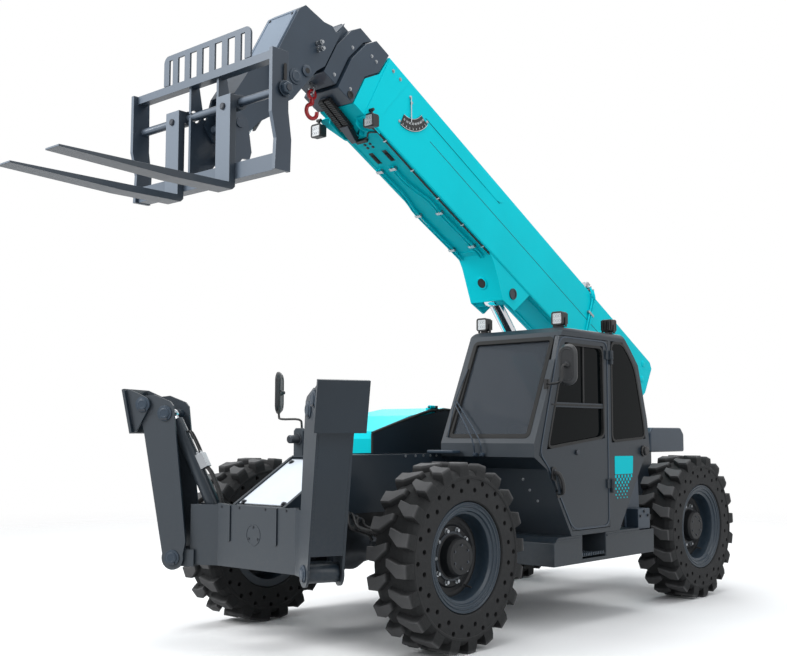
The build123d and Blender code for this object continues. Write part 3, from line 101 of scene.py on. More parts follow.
class Finish:
    """A material with one Principled shader, and short ways to feed it."""

    def __init__(self, name, colour, roughness=0.5, **sockets):
        self.material = bpy.data.materials.new(name)
        self.material.use_nodes = True
        self.tree = self.material.node_tree
        self.shader = self.tree.nodes["Principled BSDF"]
        self.feed("Base Color", colour)
        self.feed("Roughness", roughness)
        for socket, value in sockets.items():
            self.feed(socket.replace("_", " "), value)
        self.place = self.node("ShaderNodeTexCoord", output="Object")
        split = self.node("ShaderNodeSeparateXYZ", inputs=[self.place]).socket.node
        self.x, self.y, self.z = (Wire(self, output) for output in split.outputs)

    def node(self, kind, settings=None, inputs=(), output=0):
        """Makes one node: settings first, then values or links by socket name or number."""
        made = self.tree.nodes.new(kind)
        for key, value in (settings or {}).items():
            setattr(made, key, value)
        pairs = inputs.items() if isinstance(inputs, dict) else enumerate(inputs)
        for key, value in pairs:
            self.link(made.inputs[key], value)
        return Wire(self, made.outputs[output])

    def link(self, socket, value):
        if isinstance(value, Wire):
            self.tree.links.new(value.socket, socket)
        else:
            socket.default_value = value

    def feed(self, name, value):
        self.link(self.shader.inputs[name], value)

    def noise(self, scale, detail=2.0, stretch=(1, 1, 1)):
        """Smooth noise from 0 to 1 on the piece's own coordinates, in cells per metre."""
        where = self.node("ShaderNodeMapping", inputs={"Vector": self.place, "Scale": stretch})
        return self.node("ShaderNodeTexNoise", inputs={"Vector": where, "Scale": scale, "Detail": detail})

    def mix(self, factor, first, second):
        settings = {"data_type": "RGBA"}
        return self.node("ShaderNodeMix", settings, {0: factor, 6: first, 7: second}, output=2)

    def bump(self, height, strength=0.2, distance=0.001):
        values = {"Strength": strength, "Distance": distance, "Height": height}
        self.feed("Normal", self.node("ShaderNodeBump", inputs=values))


# %% [markdown]
# ## The finishes
# Enamel on plate steel is never one flat colour: it varies over a metre or so, has a fine orange
# peel that only shows in reflections, and gathers dust near the ground and on what faces up. Faces that
# look forward can get a paler tone, a painted highlight for the light that falls on the front. The same
# recipe makes every paint, so it is one function with the colours as input.

# %% Painted steel
DUST = chart(128, 120, 108)


def enamel(name, colour, roughness=0.35, dust=0.35, coat=0.25, tone=0.1, front_highlight=None, shine=0.35):
    """Sprayed enamel on plate, with dust towards the ground and a painted highlight that pales its forward
    faces.
    """
    paint = Finish(name, colour, roughness, Coat_Weight=coat, Coat_Roughness=0.12, Specular_IOR_Level=shine)
    cloudy = paint.noise(1.3, 4.0)
    speckle = paint.noise(38.0, 5.0)
    darker = tuple(c * (1 - tone) for c in colour[:3]) + (1.0,)
    lighter = tuple(min(1.0, c * (1 + tone)) for c in colour[:3]) + (1.0,)
    shade = paint.mix(cloudy.between(0.35, 0.65), darker, lighter)
    facing = paint.node("ShaderNodeNewGeometry", output="Normal")
    facing_up = paint.node("ShaderNodeSeparateXYZ", inputs=[facing], output=2)
    # Painted highlight: faces that look forward blend towards a paler colour, for the light that falls on
    # the front.
    if front_highlight:
        facing_back = paint.node("ShaderNodeSeparateXYZ", inputs=[facing], output=1)
        shade = paint.mix((0 - facing_back).between(0.70, 0.97), shade, front_highlight)
    low = 1 - paint.z.between(0.15, 1.3)
    veil = (low * 0.6 + facing_up.between(0.6, 1.0) * 0.25) * speckle.between(0.35, 0.75) * dust
    paint.feed("Base Color", paint.mix(veil, shade, DUST))
    paint.feed("Roughness", roughness + veil * 0.8 + speckle * 0.06)
    paint.bump(paint.noise(420.0, 2.0), 0.08, 0.0006)
    return paint.material


# The slate paint's last colour is its painted highlight for faces that look forward.
slate_paint = enamel("slate_paint", chart(25, 37, 47), 0.38, 0.10, 0.1, 0.1, chart(62, 69, 76))
slate_light = enamel("slate_light", chart(47, 61, 75), 0.38, 0.08, 0.1)
teal_paint = enamel("teal_paint", chart(0, 214, 227), 0.42, 0.0, 0.0, 0.03, shine=0.1)
pale_paint = enamel("pale_paint", chart(214, 222, 230), 0.4, dust=0.2, tone=0.03)
rim_paint = enamel("rim_paint", chart(36, 50, 62), 0.36, 0.08, 0.15)
yellow_paint = enamel("yellow_paint", chart(225, 170, 30), 0.4, dust=0.2)
print("enamels made")

# %% [markdown]
# ## Rubber, plastic, steel and glass
# Tyre rubber is near-black, darkened in its grooves by painted shade, and paler on the lugs' outer faces:
# the distance from the nearest wheel's centre comes from |y| and z, so one material serves all four wheels.
# Bare steel is brushed by its work, machined pins are smooth, and hard chrome is smoother still.

# %% The other finishes
AXLE_MID = 0.825
AXLE_FROM_MID = 1.652
WHEEL_R = 0.625
WHEEL_X = 0.981


def tyre_compound():
    rubber = Finish("tyre_rubber", chart(44, 43, 43), 0.75, Specular_IOR_Level=0.25)
    along = abs(abs(rubber.y - AXLE_MID) - AXLE_FROM_MID)
    up = rubber.z - WHEEL_R
    radius = (along * along + up * up) ** 0.5
    grain = rubber.noise(70.0, 6.0)
    cloud = rubber.noise(9.0, 3.0)
    # Painted shade darkens the tread floor between the lugs. The lugs' outer faces are made paler.
    groove = (1 - radius.between(0.575, 0.612)) * radius.between(0.5, 0.56)
    lug_face = radius.between(0.600, 0.622)
    dust_and_groove_shade = (0.10 - groove * 0.06 + lug_face * 0.62) * (0.7 + cloud * 0.5)
    rubber.feed("Base Color", rubber.mix(dust_and_groove_shade, chart(33, 34, 35), chart(104, 104, 105)))
    rubber.feed("Roughness", 0.62 + grain * 0.3)
    rubber.bump(grain, 0.35, 0.002)
    return rubber.material


def plain(name, colour, roughness, grain_scale=160.0, grain=0.15, **sockets):
    """A moulded or machined finish: fine grain in colour, gloss and bump."""
    made = Finish(name, colour, roughness, **sockets)
    texture = made.noise(grain_scale, 3.0)
    darker = tuple(c * (1 - grain) for c in colour[:3]) + (1.0,)
    made.feed("Base Color", made.mix(texture, darker, colour))
    made.feed("Roughness", roughness + (texture - 0.5) * 0.12)
    made.bump(texture, 0.1, 0.0008)
    return made.material


def pane(name, colour, alpha, shine):
    """Tinted safety glass, with the faint unevenness of a wiped pane."""
    glass = Finish(name, colour, 0.04, Specular_IOR_Level=shine)
    smear = glass.noise(2.2, 3.0, (1, 1, 3))
    glass.feed("Alpha", alpha + (smear - 0.5) * 0.02)
    glass.feed("Roughness", 0.03 + smear * 0.05)
    return glass.material


tyre_rubber = tyre_compound()
black_plastic = plain("black_plastic", chart(26, 27, 29), 0.5)
seal_rubber = plain("seal_rubber", chart(20, 21, 22), 0.7)
hose_rubber = plain("hose_rubber", chart(24, 25, 27), 0.55, 400.0, 0.3)
cast_paint = plain("cast_paint", chart(52, 58, 65), 0.55, 90.0, 0.3)
bright_steel = plain("bright_steel", chart(168, 172, 176), 0.34, 300.0, 0.2, Metallic=1.0)
dark_steel = plain("dark_steel", chart(72, 76, 82), 0.42, 260.0, 0.25, Metallic=0.8)
hub_black_and_disc_shade = plain("hub_black_and_disc_shade", chart(24, 26, 29), 0.5, 120.0, 0.3, Specular_IOR_Level=0.3)
# A paler copy of the fork paint: a painted highlight for front faces that catch the light.
fork_paint_lit_front = enamel("fork_paint_lit_front", chart(120, 134, 150), 0.42, 0.0, 0.0, 0.06)
# The last colour of the fork and carriage paints is their painted highlight for faces that look forward.
fork_steel = enamel("fork_steel", chart(50, 60, 70), 0.4, 0.0, 0.2, 0.12, chart(118, 130, 144))
carriage_paint = enamel("carriage_paint", chart(48, 60, 73), 0.38, 0.0, 0.2, 0.1, chart(104, 116, 130))
chrome = plain("hard_chrome", chart(206, 208, 212), 0.12, 500.0, 0.05, Metallic=1.0)
seat_cloth = plain("seat_cloth", chart(34, 35, 38), 0.85, 600.0, 0.4)
hook_red = enamel("hook_red", chart(176, 34, 40), 0.35, dust=0.1)
lens_clear = plain("lens_clear", chart(232, 236, 238), 0.3, 900.0, 0.03, Specular_IOR_Level=0.5)
mirror_shell = plain("mirror_shell", chart(48, 50, 53), 0.42, 200.0, 0.2, Specular_IOR_Level=0.4)
dial_white = plain("dial_white", chart(232, 236, 238), 0.5, 300.0, 0.05)
screen_glass = pane("screen_glass", chart(72, 79, 87), 0.70, 0.25)
# The dark glass is near opaque: its own tint plus painted shade for the dim cab seen through it.
tint_and_shade_glass = pane("tint_and_shade_glass", chart(8, 13, 15), 0.99, 0.05)
print("finishes:", len(bpy.data.materials))

# %% [markdown]
# ## Camera, floor and light
# The camera stands at chest height, close to the front left corner, with a small lens shift that keeps
# the forks and the rear wheel in the frame. The floor fades out far from the machine, so no horizon
# shows, and four large panels with a pale world light every side softly.

# %% Camera
camera = bpy.data.objects.new("camera", bpy.data.cameras.new("camera"))
bpy.context.scene.collection.objects.link(camera)
camera.location = (5.6678, -6.4148, 1.4247)
camera.rotation_euler = Vector((-0.6553, 0.7509, 0.0827)).to_track_quat("-Z", "Y").to_euler()
camera.data.sensor_width = 36.0
camera.data.lens = 49.29
camera.data.shift_x = -0.0430
camera.data.shift_y = 0.0233
camera.data.clip_end = 200.0
bpy.context.scene.camera = camera
bpy.context.scene.view_settings.view_transform = "Standard"
print("camera at", tuple(round(c, 2) for c in camera.location))

# %% Floor and world
FLOOR_R = 40.0
BACKDROP = (1.0, 1.0, 1.0, 1.0)

floor_mesh = bmesh.new()
bmesh.ops.create_circle(floor_mesh, cap_ends=True, segments=96, radius=FLOOR_R)
floor_data = bpy.data.meshes.new("floor")
floor_mesh.to_mesh(floor_data)
floor_mesh.free()
floor = bpy.data.objects.new("floor", floor_data)
bpy.context.scene.collection.objects.link(floor)
floor_finish = Finish("floor", chart(250, 250, 250), 0.9, Specular_IOR_Level=0.1)
from_middle = (floor_finish.x * floor_finish.x + floor_finish.y * floor_finish.y) ** 0.5
floor_finish.feed("Alpha", 1 - from_middle.between(4.0, 14.0))
# Seen directly the floor is nearly white, but what it throws back up is the light of a grey floor.
looked_at = floor_finish.node("ShaderNodeLightPath")
mirrored = floor_finish.node("ShaderNodeLightPath", output="Is Glossy Ray")
clear = floor_finish.node("ShaderNodeLightPath", output="Is Transmission Ray")
floor_finish.feed("Base Color", floor_finish.mix(looked_at + mirrored + clear, chart(150, 150, 150),
    chart(250, 250, 250)))
floor_data.materials.append(floor_finish.material)

world = bpy.data.worlds.new("studio")
bpy.context.scene.world = world
world.use_nodes = True
nodes, links = world.node_tree.nodes, world.node_tree.links
sky = nodes["Background"]
sky.inputs["Color"].default_value = (0.92, 0.96, 1.0, 1.0)
sky.inputs["Strength"].default_value = 0.62
seen = nodes.new("ShaderNodeBackground")
seen.inputs["Color"].default_value = BACKDROP
seen.inputs["Strength"].default_value = 1.0
# The camera, mirrors and glass see the plain backdrop. Everything else is lit by the sky.
path = nodes.new("ShaderNodeLightPath")
straight = path.outputs["Is Camera Ray"]
for other in ("Is Transmission Ray", "Is Glossy Ray"):
    either = nodes.new("ShaderNodeMath")
    either.operation = "ADD"
    either.use_clamp = True
    links.new(straight, either.inputs[0])
    links.new(path.outputs[other], either.inputs[1])
    straight = either.outputs[0]
choose = nodes.new("ShaderNodeMixShader")
links.new(straight, choose.inputs[0])
links.new(sky.outputs[0], choose.inputs[1])
links.new(seen.outputs[0], choose.inputs[2])
links.new(choose.outputs[0], nodes["World Output"].inputs["Surface"])

# %% Light panels
PANELS = (  # name, place, aims at, size, watts
    ("key", (-4.5, -10.0, 8.5), (0.0, -0.8, 1.6), 5.0, 950.0),
    ("side", (10.0, -1.0, 6.0), (0.0, 0.0, 1.6), 6.0, 240.0),
    ("top", (0.0, 1.0, 10.0), (0.0, 0.5, 1.0), 8.0, 560.0),
    ("back", (-6.0, 9.0, 6.0), (0.0, 1.5, 1.5), 6.0, 260.0),
)
for name, spot, aim, size, watts in PANELS:
    lamp = bpy.data.lights.new(name, "AREA")
    lamp.size = size
    lamp.energy = watts
    panel = bpy.data.objects.new(name, lamp)
    panel.location = spot
    panel.rotation_euler = (Vector(aim) - Vector(spot)).to_track_quat("-Z", "Y").to_euler()
    bpy.context.scene.collection.objects.link(panel)
print("panels:", len(PANELS))

# %% [markdown]
# ## Dressing the CAD nodes
# Most plates already have the right shape, so they keep their CAD mesh and get a finish and worked
# edges. A CAD mesh is loose triangles: Weld joins them, a planar Decimate merges each flat face, and a
# Bevel then breaks every sharp edge by a few millimetres, as grinding and paint do on real plate.

# %% A finish and an edge for every node
WHEELS = ("front_left", "front_right", "rear_left", "rear_right")
SIDES = ("left", "right")
DRESS = {  # node: (finish, edge radius in metres)
    "chassis_frame": (slate_paint, 0.004),
    "nose_cover": (pale_paint, 0.004),
    "counterweight": (slate_paint, 0.012),
    "tow_hitch": (slate_paint, 0.003),
    "engine_bay": (slate_paint, 0.004),
    "engine_block": (cast_paint, 0.02),
    "engine_hood": (teal_paint, 0.006),
    "rear_tank": (slate_light, 0.015),
    "cab_shell": (slate_paint, 0.012),
    "cab_glass": (screen_glass, 0.0),
    "cab_door": (slate_paint, 0.004),
    "door_glass": (tint_and_shade_glass, 0.0),
    "driver_seat": (seat_cloth, 0.03),
    "steering_console": (black_plastic, 0.006),
    "cab_steps": (slate_paint, 0.006),
    "mirrors": (black_plastic, 0.006),
    "cab_lamps": (black_plastic, 0.006),
    "front_axle": (cast_paint, 0.006),
    "rear_axle": (cast_paint, 0.006),
    "boom_outer": (teal_paint, 0.006),
    "boom_middle": (slate_light, 0.005),
    "boom_inner": (slate_light, 0.005),
    "boom_head": (slate_light, 0.004),
    "lift_barrel": (teal_paint, 0.004),
    "lift_rod": (chrome, 0.003),
    "tilt_barrel": (slate_paint, 0.003),
    "tilt_rod": (chrome, 0.002),
    "carriage": (carriage_paint, 0.003),
    "fork_left": (fork_steel, 0.003),
    "fork_right": (fork_steel, 0.003),
}
for corner in WHEELS:
    DRESS["knuckle_" + corner] = (cast_paint, 0.006)
    DRESS["tyre_" + corner] = (tyre_rubber, 0.0)
    DRESS["rim_" + corner] = (rim_paint, 0.003)
for hand in SIDES:
    DRESS["stabilizer_arm_" + hand] = (slate_paint, 0.003)
    DRESS["stabilizer_foot_" + hand] = (slate_paint, 0.003)
    DRESS["stabilizer_barrel_" + hand] = (slate_paint, 0.003)
    DRESS["stabilizer_rod_" + hand] = (chrome, 0.002)


def break_edges(node, radius):
    """Rounds every sharp edge of a CAD mesh by a few millimetres."""
    weld = node.modifiers.new("weld", "WELD")
    weld.merge_threshold = 0.00005
    flat = node.modifiers.new("flat", "DECIMATE")
    flat.decimate_type = "DISSOLVE"
    flat.angle_limit = math.radians(0.6)
    bevel = node.modifiers.new("edge", "BEVEL")
    bevel.width = radius
    bevel.segments = 2
    bevel.limit_method = "ANGLE"
    bevel.angle_limit = math.radians(32)
    bevel.harden_normals = True
    bevel.use_clamp_overlap = True


for name, (finish, radius) in DRESS.items():
    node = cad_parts[name]
    node.data.materials.clear()
    node.data.materials.append(finish)
    if radius:
        break_edges(node, radius)
print("nodes dressed:", len(DRESS), "of", len(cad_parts))

# %% [markdown]
# ## Workshop tools
# Three ways of making a piece cover most of the machine: an outline pushed through a thickness
# (`plate`), a profile turned round an axis (`turned`), and a round bar led along points (`pipe`).
# Whatever repeats, such as bolts, lugs and studs, is placed by a Geometry Nodes tree instead.

# %% Mesh pieces
UP = Vector((0, 0, 1))
LEFT = Vector((1, 0, 0))
FRONT = Vector((0, -1, 0))


def piece(name, mesh, finish, body):
    """Turns a bmesh or mesh into a piece with a finish that rides on a body."""
    if isinstance(mesh, bmesh.types.BMesh):
        data = bpy.data.meshes.new(name)
        mesh.to_mesh(data)
        mesh.free()
    else:
        data = mesh
        data.name = name
    made = bpy.data.objects.new(name, data)
    bpy.context.scene.collection.objects.link(made)
    if finish is not None:
        data.materials.clear()
        data.materials.append(finish)
    if body:
        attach(made, body)
    return made


def soften(made, radius, steps=2, angle=32):
    """Breaks the sharp edges of a piece and shades it smooth between them."""
    for polygon in made.data.polygons:
        polygon.use_smooth = True
    bevel = made.modifiers.new("edge", "BEVEL")
    bevel.width = radius
    bevel.segments = steps
    bevel.limit_method = "ANGLE"
    bevel.angle_limit = math.radians(angle)
    bevel.harden_normals = True
    return made


def settle(made):
    """Applies a piece's modifiers, so that a plain mesh is left."""
    bpy.context.view_layer.update()
    shape = made.evaluated_get(bpy.context.evaluated_depsgraph_get())
    data = bpy.data.meshes.new_from_object(shape)
    made.modifiers.clear()
    made.data = data
    return made


class Bench:
    """A working plane: a point, two directions along it, and the one it faces."""

    def __init__(self, origin, right, up):
        self.origin = Vector(origin)
        self.right = Vector(right).normalized()
        self.up = Vector(up).normalized()
        self.out = self.right.cross(self.up)

    def at(self, right, up, out=0.0):
        return self.origin + self.right * right + self.up * up + self.out * out


def loop_of(mesh, bench, outline, depth):
    """Vertices along an outline, at a depth on a bench."""
    return [mesh.verts.new(bench.at(a, b, depth)) for a, b in outline]


def loop_about(mesh, middle, side, other, radius, count):
    """A circle of vertices in the plane of two directions."""
    turn = 2 * math.pi / count
    return [mesh.verts.new(middle + (side * math.cos(i * turn) + other * math.sin(i * turn)) * radius)
        for i in range(count)]


def skin(mesh, first, second):
    """A closed strip of faces between two loops with as many vertices each."""
    ahead = zip(first[1:] + first[:1], second[1:] + second[:1])
    return [mesh.faces.new((a, b, d, c)) for a, c, (b, d) in zip(first, second, ahead)]


def plate(bench, outline, low, high, into=None):
    """Pushes a flat outline from low to high along the bench's facing direction."""
    mesh = into or bmesh.new()
    near, far = (loop_of(mesh, bench, outline, depth) for depth in (low, high))
    faces = [mesh.faces.new(near), mesh.faces.new(far)] + skin(mesh, near, far)
    bmesh.ops.recalc_face_normals(mesh, faces=faces)
    return mesh


def block(bench, middle, size, into=None):
    """A box about a middle point on the bench, sized along right, up and out."""
    (a, b, c), (da, db, dc) = middle, (side / 2 for side in size)
    corners = [(a - da, b - db), (a + da, b - db), (a + da, b + db), (a - da, b + db)]
    return plate(bench, corners, c - dc, c + dc, into)


def rounded(width, height, radius, middle=(0.0, 0.0), steps=6):
    """Outline of a rectangle with round corners."""
    points = []
    for corner in range(4):
        centre_x = middle[0] + (width / 2 - radius) * (1, -1, -1, 1)[corner]
        centre_y = middle[1] + (height / 2 - radius) * (1, 1, -1, -1)[corner]
        for step in range(steps + 1):
            angle = math.radians(90 * (corner + step / steps))
            points.append((centre_x + radius * math.cos(angle), centre_y + radius * math.sin(angle)))
    return points


def circle(radius, middle=(0.0, 0.0), steps=24):
    turn = 2 * math.pi / steps
    return [(middle[0] + radius * math.cos(i * turn), middle[1] + radius * math.sin(i * turn))
        for i in range(steps)]


def ease_corners(outline, radius, steps=4):
    """Rounds the corners of a drawn outline."""
    points = []
    for i, here in enumerate(outline):
        here = Vector(here)
        back, ahead = Vector(outline[i - 1]) - here, Vector(outline[(i + 1) % len(outline)]) - here
        reach = min(radius, back.length * 0.45, ahead.length * 0.45)
        start, end = here + back.normalized() * reach, here + ahead.normalized() * reach
        for step in range(steps + 1):
            t = step / steps
            spot = start * (1 - t) ** 2 + here * 2 * t * (1 - t) + end * t * t
            points.append(tuple(spot))
    return points


def band(bench, outline, width, low, high, into=None):
    """A frame of even width inside an outline, such as a seal or a rim."""
    mesh = into or bmesh.new()
    count = len(outline)
    inner = []
    for i, here in enumerate(outline):
        here = Vector(here)
        back = (here - Vector(outline[i - 1])).normalized()
        ahead = (Vector(outline[(i + 1) % count]) - here).normalized()
        across = back + ahead
        across = across.normalized() if across.length > 1e-6 else ahead
        normal = Vector((-across.y, across.x))
        inner.append(tuple(here + normal * width / max(0.35, normal.dot(Vector((-ahead.y, ahead.x))))))
    section = ((outline, low), (outline, high), (inner, high), (inner, low))
    loops = [loop_of(mesh, bench, edge, depth) for edge, depth in section]
    faces = []
    for first, second in zip(loops, loops[1:] + loops[:1]):
        faces += skin(mesh, first, second)
    bmesh.ops.recalc_face_normals(mesh, faces=faces)
    return mesh


def turned(origin, axis, profile, segments=48, into=None):
    """Turns a profile of (along, radius) points round an axis. Radius 0 closes an end."""
    mesh = into or bmesh.new()
    axis = Vector(axis).normalized()
    side = axis.orthogonal().normalized()
    other = axis.cross(side)
    loops = []
    for along, radius in profile:
        middle = Vector(origin) + axis * along
        if radius:
            loops.append(loop_about(mesh, middle, side, other, radius, segments))
        else:
            loops.append([mesh.verts.new(middle)])
    faces = []
    for first, second in zip(loops, loops[1:]):
        if len(first) == len(second):
            faces += skin(mesh, first, second)
        elif len(first) == 1:
            pairs = zip(second[1:] + second[:1], second)
            faces += [mesh.faces.new((first[0], *pair)) for pair in pairs]
        else:
            pairs = zip(first, first[1:] + first[:1])
            faces += [mesh.faces.new((*pair, second[0])) for pair in pairs]
    bmesh.ops.recalc_face_normals(mesh, faces=faces)
    return mesh


def rod(low, high, radius):
    """Profile of a plain round bar, for turned."""
    return [(low, 0), (low, radius), (high, radius), (high, 0)]


def ring(low, high, outer, inner):
    """Profile of a flat ring, for hoop."""
    return [(low, outer), (high, outer), (high, inner), (low, inner)]


def hoop(origin, axis, profile, segments=48, into=None):
    """Turns a closed profile that doesn't touch the axis."""
    mesh = turned(origin, axis, list(profile) + [profile[0]], segments, into)
    bmesh.ops.remove_doubles(mesh, verts=mesh.verts, dist=1e-5)
    return mesh


def pipe(points, radius, into=None, sides=12, smooth=4):
    """A round bar along points, with its corners eased by a spline."""
    mesh = into or bmesh.new()
    route = [Vector(p) for p in points]
    path = []
    for i in range(len(route) - 1):
        before, start = route[max(i - 1, 0)], route[i]
        end, after = route[i + 1], route[min(i + 2, len(route) - 1)]
        for step in range(smooth):
            t = step / smooth
            path.append(0.5 * (
                2 * start + (end - before) * t + (2 * before - 5 * start + 4 * end - after) * t**2
                + (3 * start - before - 3 * end + after) * t**3
            ))
    path.append(route[-1])
    side = (path[1] - path[0]).orthogonal().normalized()
    loops = []
    for i, spot in enumerate(path):
        along = (path[min(i + 1, len(path) - 1)] - path[max(i - 1, 0)]).normalized()
        side = (side - along * side.dot(along)).normalized()
        loops.append(loop_about(mesh, spot, side, along.cross(side), radius, sides))
    faces = [mesh.faces.new(loops[0]), mesh.faces.new(loops[-1])]
    for first, second in zip(loops, loops[1:]):
        faces += skin(mesh, first, second)
    bmesh.ops.recalc_face_normals(mesh, faces=faces)
    return mesh


print("tools ready")

# %% [markdown]
# ## Geometry Nodes trees
# `ring_tree` sets copies of a piece evenly round the X axis: tread lugs, and the cutters for the holes
# in a tyre's wall. `stud_tree` puts a washer and a head on every vertex of a guide mesh, facing the way
# that the vertex's own "aim" says. Both realize their copies and set the finish.

# %% Trees
def new_tree(name, sockets):
    tree = bpy.data.node_groups.new(name, "GeometryNodeTree")
    tree.interface.new_socket("Geometry", in_out="INPUT", socket_type="NodeSocketGeometry")
    for label, kind, value in sockets:
        socket = tree.interface.new_socket(label, in_out="INPUT", socket_type=kind)
        if value is not None:
            socket.default_value = value
    tree.interface.new_socket("Geometry", in_out="OUTPUT", socket_type="NodeSocketGeometry")
    return tree, tree.nodes.new("NodeGroupInput").outputs, tree.nodes.new("NodeGroupOutput").inputs


def tree_node(tree, kind, inputs=(), output=0, **settings):
    """Adds a node to a Geometry Nodes tree and returns one of its outputs."""
    made = tree.nodes.new(kind)
    for key, value in settings.items():
        setattr(made, key, value)
    pairs = inputs.items() if isinstance(inputs, dict) else enumerate(inputs)
    for key, value in pairs:
        if isinstance(value, bpy.types.NodeSocket):
            tree.links.new(value, made.inputs[key])
        else:
            made.inputs[key].default_value = value
    return made.outputs[output]


def ring_tree():
    tree, given, result = new_tree("ring of copies", (
        ("Count", "NodeSocketInt", 20),
        ("Start", "NodeSocketFloat", 0.0),
        ("Finish", "NodeSocketMaterial", None),
    ))
    points = tree_node(tree, "GeometryNodePoints", {"Count": given["Count"]})
    index = tree_node(tree, "GeometryNodeInputIndex")
    share = tree_node(tree, "ShaderNodeMath", [index, given["Count"]], operation="DIVIDE")
    angle = tree_node(tree, "ShaderNodeMath", [share, 2 * math.pi, given["Start"]], operation="MULTIPLY_ADD")
    turn = tree_node(tree, "ShaderNodeCombineXYZ", {"X": angle})
    rotation = tree_node(tree, "FunctionNodeEulerToRotation", [turn])
    copies = tree_node(tree, "GeometryNodeInstanceOnPoints", {
        "Points": points, "Instance": given["Geometry"], "Rotation": rotation,
    })
    real = tree_node(tree, "GeometryNodeRealizeInstances", [copies])
    finished = tree_node(tree, "GeometryNodeSetMaterial", {"Geometry": real, "Material": given["Finish"]})
    tree.links.new(finished, result[0])
    return tree


def stud_tree():
    tree, given, result = new_tree("studs on points", (
        ("Radius", "NodeSocketFloat", 0.012),
        ("Height", "NodeSocketFloat", 0.01),
        ("Sides", "NodeSocketInt", 6),
        ("Washer", "NodeSocketFloat", 1.5),
        ("Finish", "NodeSocketMaterial", None),
    ))
    head = tree_node(tree, "GeometryNodeMeshCylinder", {
        "Vertices": given["Sides"], "Radius": given["Radius"], "Depth": given["Height"],
    })
    half = tree_node(tree, "ShaderNodeMath", [given["Height"], 0.5], operation="MULTIPLY")
    lift = tree_node(tree, "ShaderNodeCombineXYZ", {"Z": half})
    raised = tree_node(tree, "GeometryNodeTransform", {"Geometry": head, "Translation": lift})
    wide = tree_node(tree, "ShaderNodeMath", [given["Radius"], given["Washer"]], operation="MULTIPLY")
    thin = tree_node(tree, "ShaderNodeMath", [given["Height"], 0.35], operation="MULTIPLY")
    washer = tree_node(tree, "GeometryNodeMeshCylinder", {"Vertices": 16, "Radius": wide, "Depth": thin})
    join = tree.nodes.new("GeometryNodeJoinGeometry")
    tree.links.new(raised, join.inputs[0])
    tree.links.new(washer, join.inputs[0])
    aim = tree_node(tree, "GeometryNodeInputNamedAttribute", {"Name": "aim"}, data_type="FLOAT_VECTOR")
    rotation = tree_node(tree, "FunctionNodeAlignRotationToVector", {"Vector": aim}, axis="Z")
    copies = tree_node(tree, "GeometryNodeInstanceOnPoints", {
        "Points": given["Geometry"], "Instance": join.outputs[0], "Rotation": rotation,
    })
    real = tree_node(tree, "GeometryNodeRealizeInstances", [copies])
    finished = tree_node(tree, "GeometryNodeSetMaterial", {"Geometry": real, "Material": given["Finish"]})
    tree.links.new(finished, result[0])
    return tree


RING = ring_tree()
STUDS = stud_tree()


def grow(made, tree, **values):
    """Runs a tree on an object with named inputs, and leaves the plain mesh."""
    modifier = made.modifiers.new("tree", "NODES")
    modifier.node_group = tree
    for item in tree.interface.items_tree:
        if item.in_out == "INPUT" and item.name in values:
            modifier[item.identifier] = values[item.name]
    return settle(made)


def studs(name, body, spots, radius, height, finish, sides=6, washer=1.5):
    """Bolt heads at (point, aim) spots, as one piece."""
    guide = bpy.data.meshes.new(name)
    guide.from_pydata([tuple(point) for point, aim in spots], [], [])
    aims = guide.attributes.new("aim", "FLOAT_VECTOR", "POINT")
    for value, (point, aim) in zip(aims.data, spots):
        value.vector = Vector(aim)
    made = piece(name, guide, None, None)
    grow(made, STUDS, Radius=radius, Height=height, Sides=sides, Washer=washer, Finish=finish)
    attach(made, body)
    return made


print("trees:", RING.name, "and", STUDS.name)

# %% [markdown]
# ## Solid tyres
# These are solid tyres: no air, so their walls are flat and carry two rings of round holes that make
# the rubber springy. A lug is a thick block at the shoulder that bends towards the middle of the
# tread. One lug is drawn, the ring tree sets twenty on each side, and the holes are cut by a Boolean.

# %% One tyre, then four
LUGS = 20
TYRE_HALF = 0.174
TREAD_R = 0.580
LUG_TOP_R = 0.6245
HOLE_RINGS = ((0.498, 0.0), (0.444, math.pi / LUGS))
HOLE_FLOOR = 0.10
CORNERS = {
    "front_left": (1, AXLE_MID - AXLE_FROM_MID),
    "front_right": (-1, AXLE_MID - AXLE_FROM_MID),
    "rear_left": (1, AXLE_MID + AXLE_FROM_MID),
    "rear_right": (-1, AXLE_MID + AXLE_FROM_MID),
}


def lug_mesh(hand):
    """One tread lug on the side that hand names, standing on the tread at the top."""
    outline = ((0.004, 0.036), (0.004, -0.012), (0.090, -0.083), (0.170, -0.083), (0.170, 0.004),
        (0.104, 0.004))
    middle = Vector((0.1, -0.03))
    mesh = bmesh.new()
    levels = []
    for radius, grow_by, widest in (
        (0.535, 1.12, TYRE_HALF - 0.002), (0.585, 1.06, TYRE_HALF - 0.002), (LUG_TOP_R, 0.97, 0.165),
    ):
        level = []
        for x, y in outline:
            spot = middle + (Vector((x, y)) - middle) * grow_by
            x_at = hand * max(min(spot.x, widest), 0.0)
            level.append(mesh.verts.new((x_at, spot.y, math.sqrt(radius**2 - spot.y**2))))
        levels.append(level)
    for first, second in zip(levels, levels[1:]):
        skin(mesh, first, second)
    mesh.faces.new(levels[-1])
    mesh.faces.new(levels[0])
    bmesh.ops.recalc_face_normals(mesh, faces=mesh.faces)
    return mesh


def hole_ring(radius, start):
    """Cutters for one ring of blind holes in each wall of the tyre."""
    taper = [(0, 0), (0, 0.016), (0.1, 0.017), (0.1, 0)]
    cutter = turned((HOLE_FLOOR, 0, radius), LEFT, taper, 16)
    cutter = turned((-HOLE_FLOOR, 0, radius), -LEFT, taper, 16, cutter)
    return grow(piece("holes", cutter, None, None), RING, Count=LUGS, Start=start)


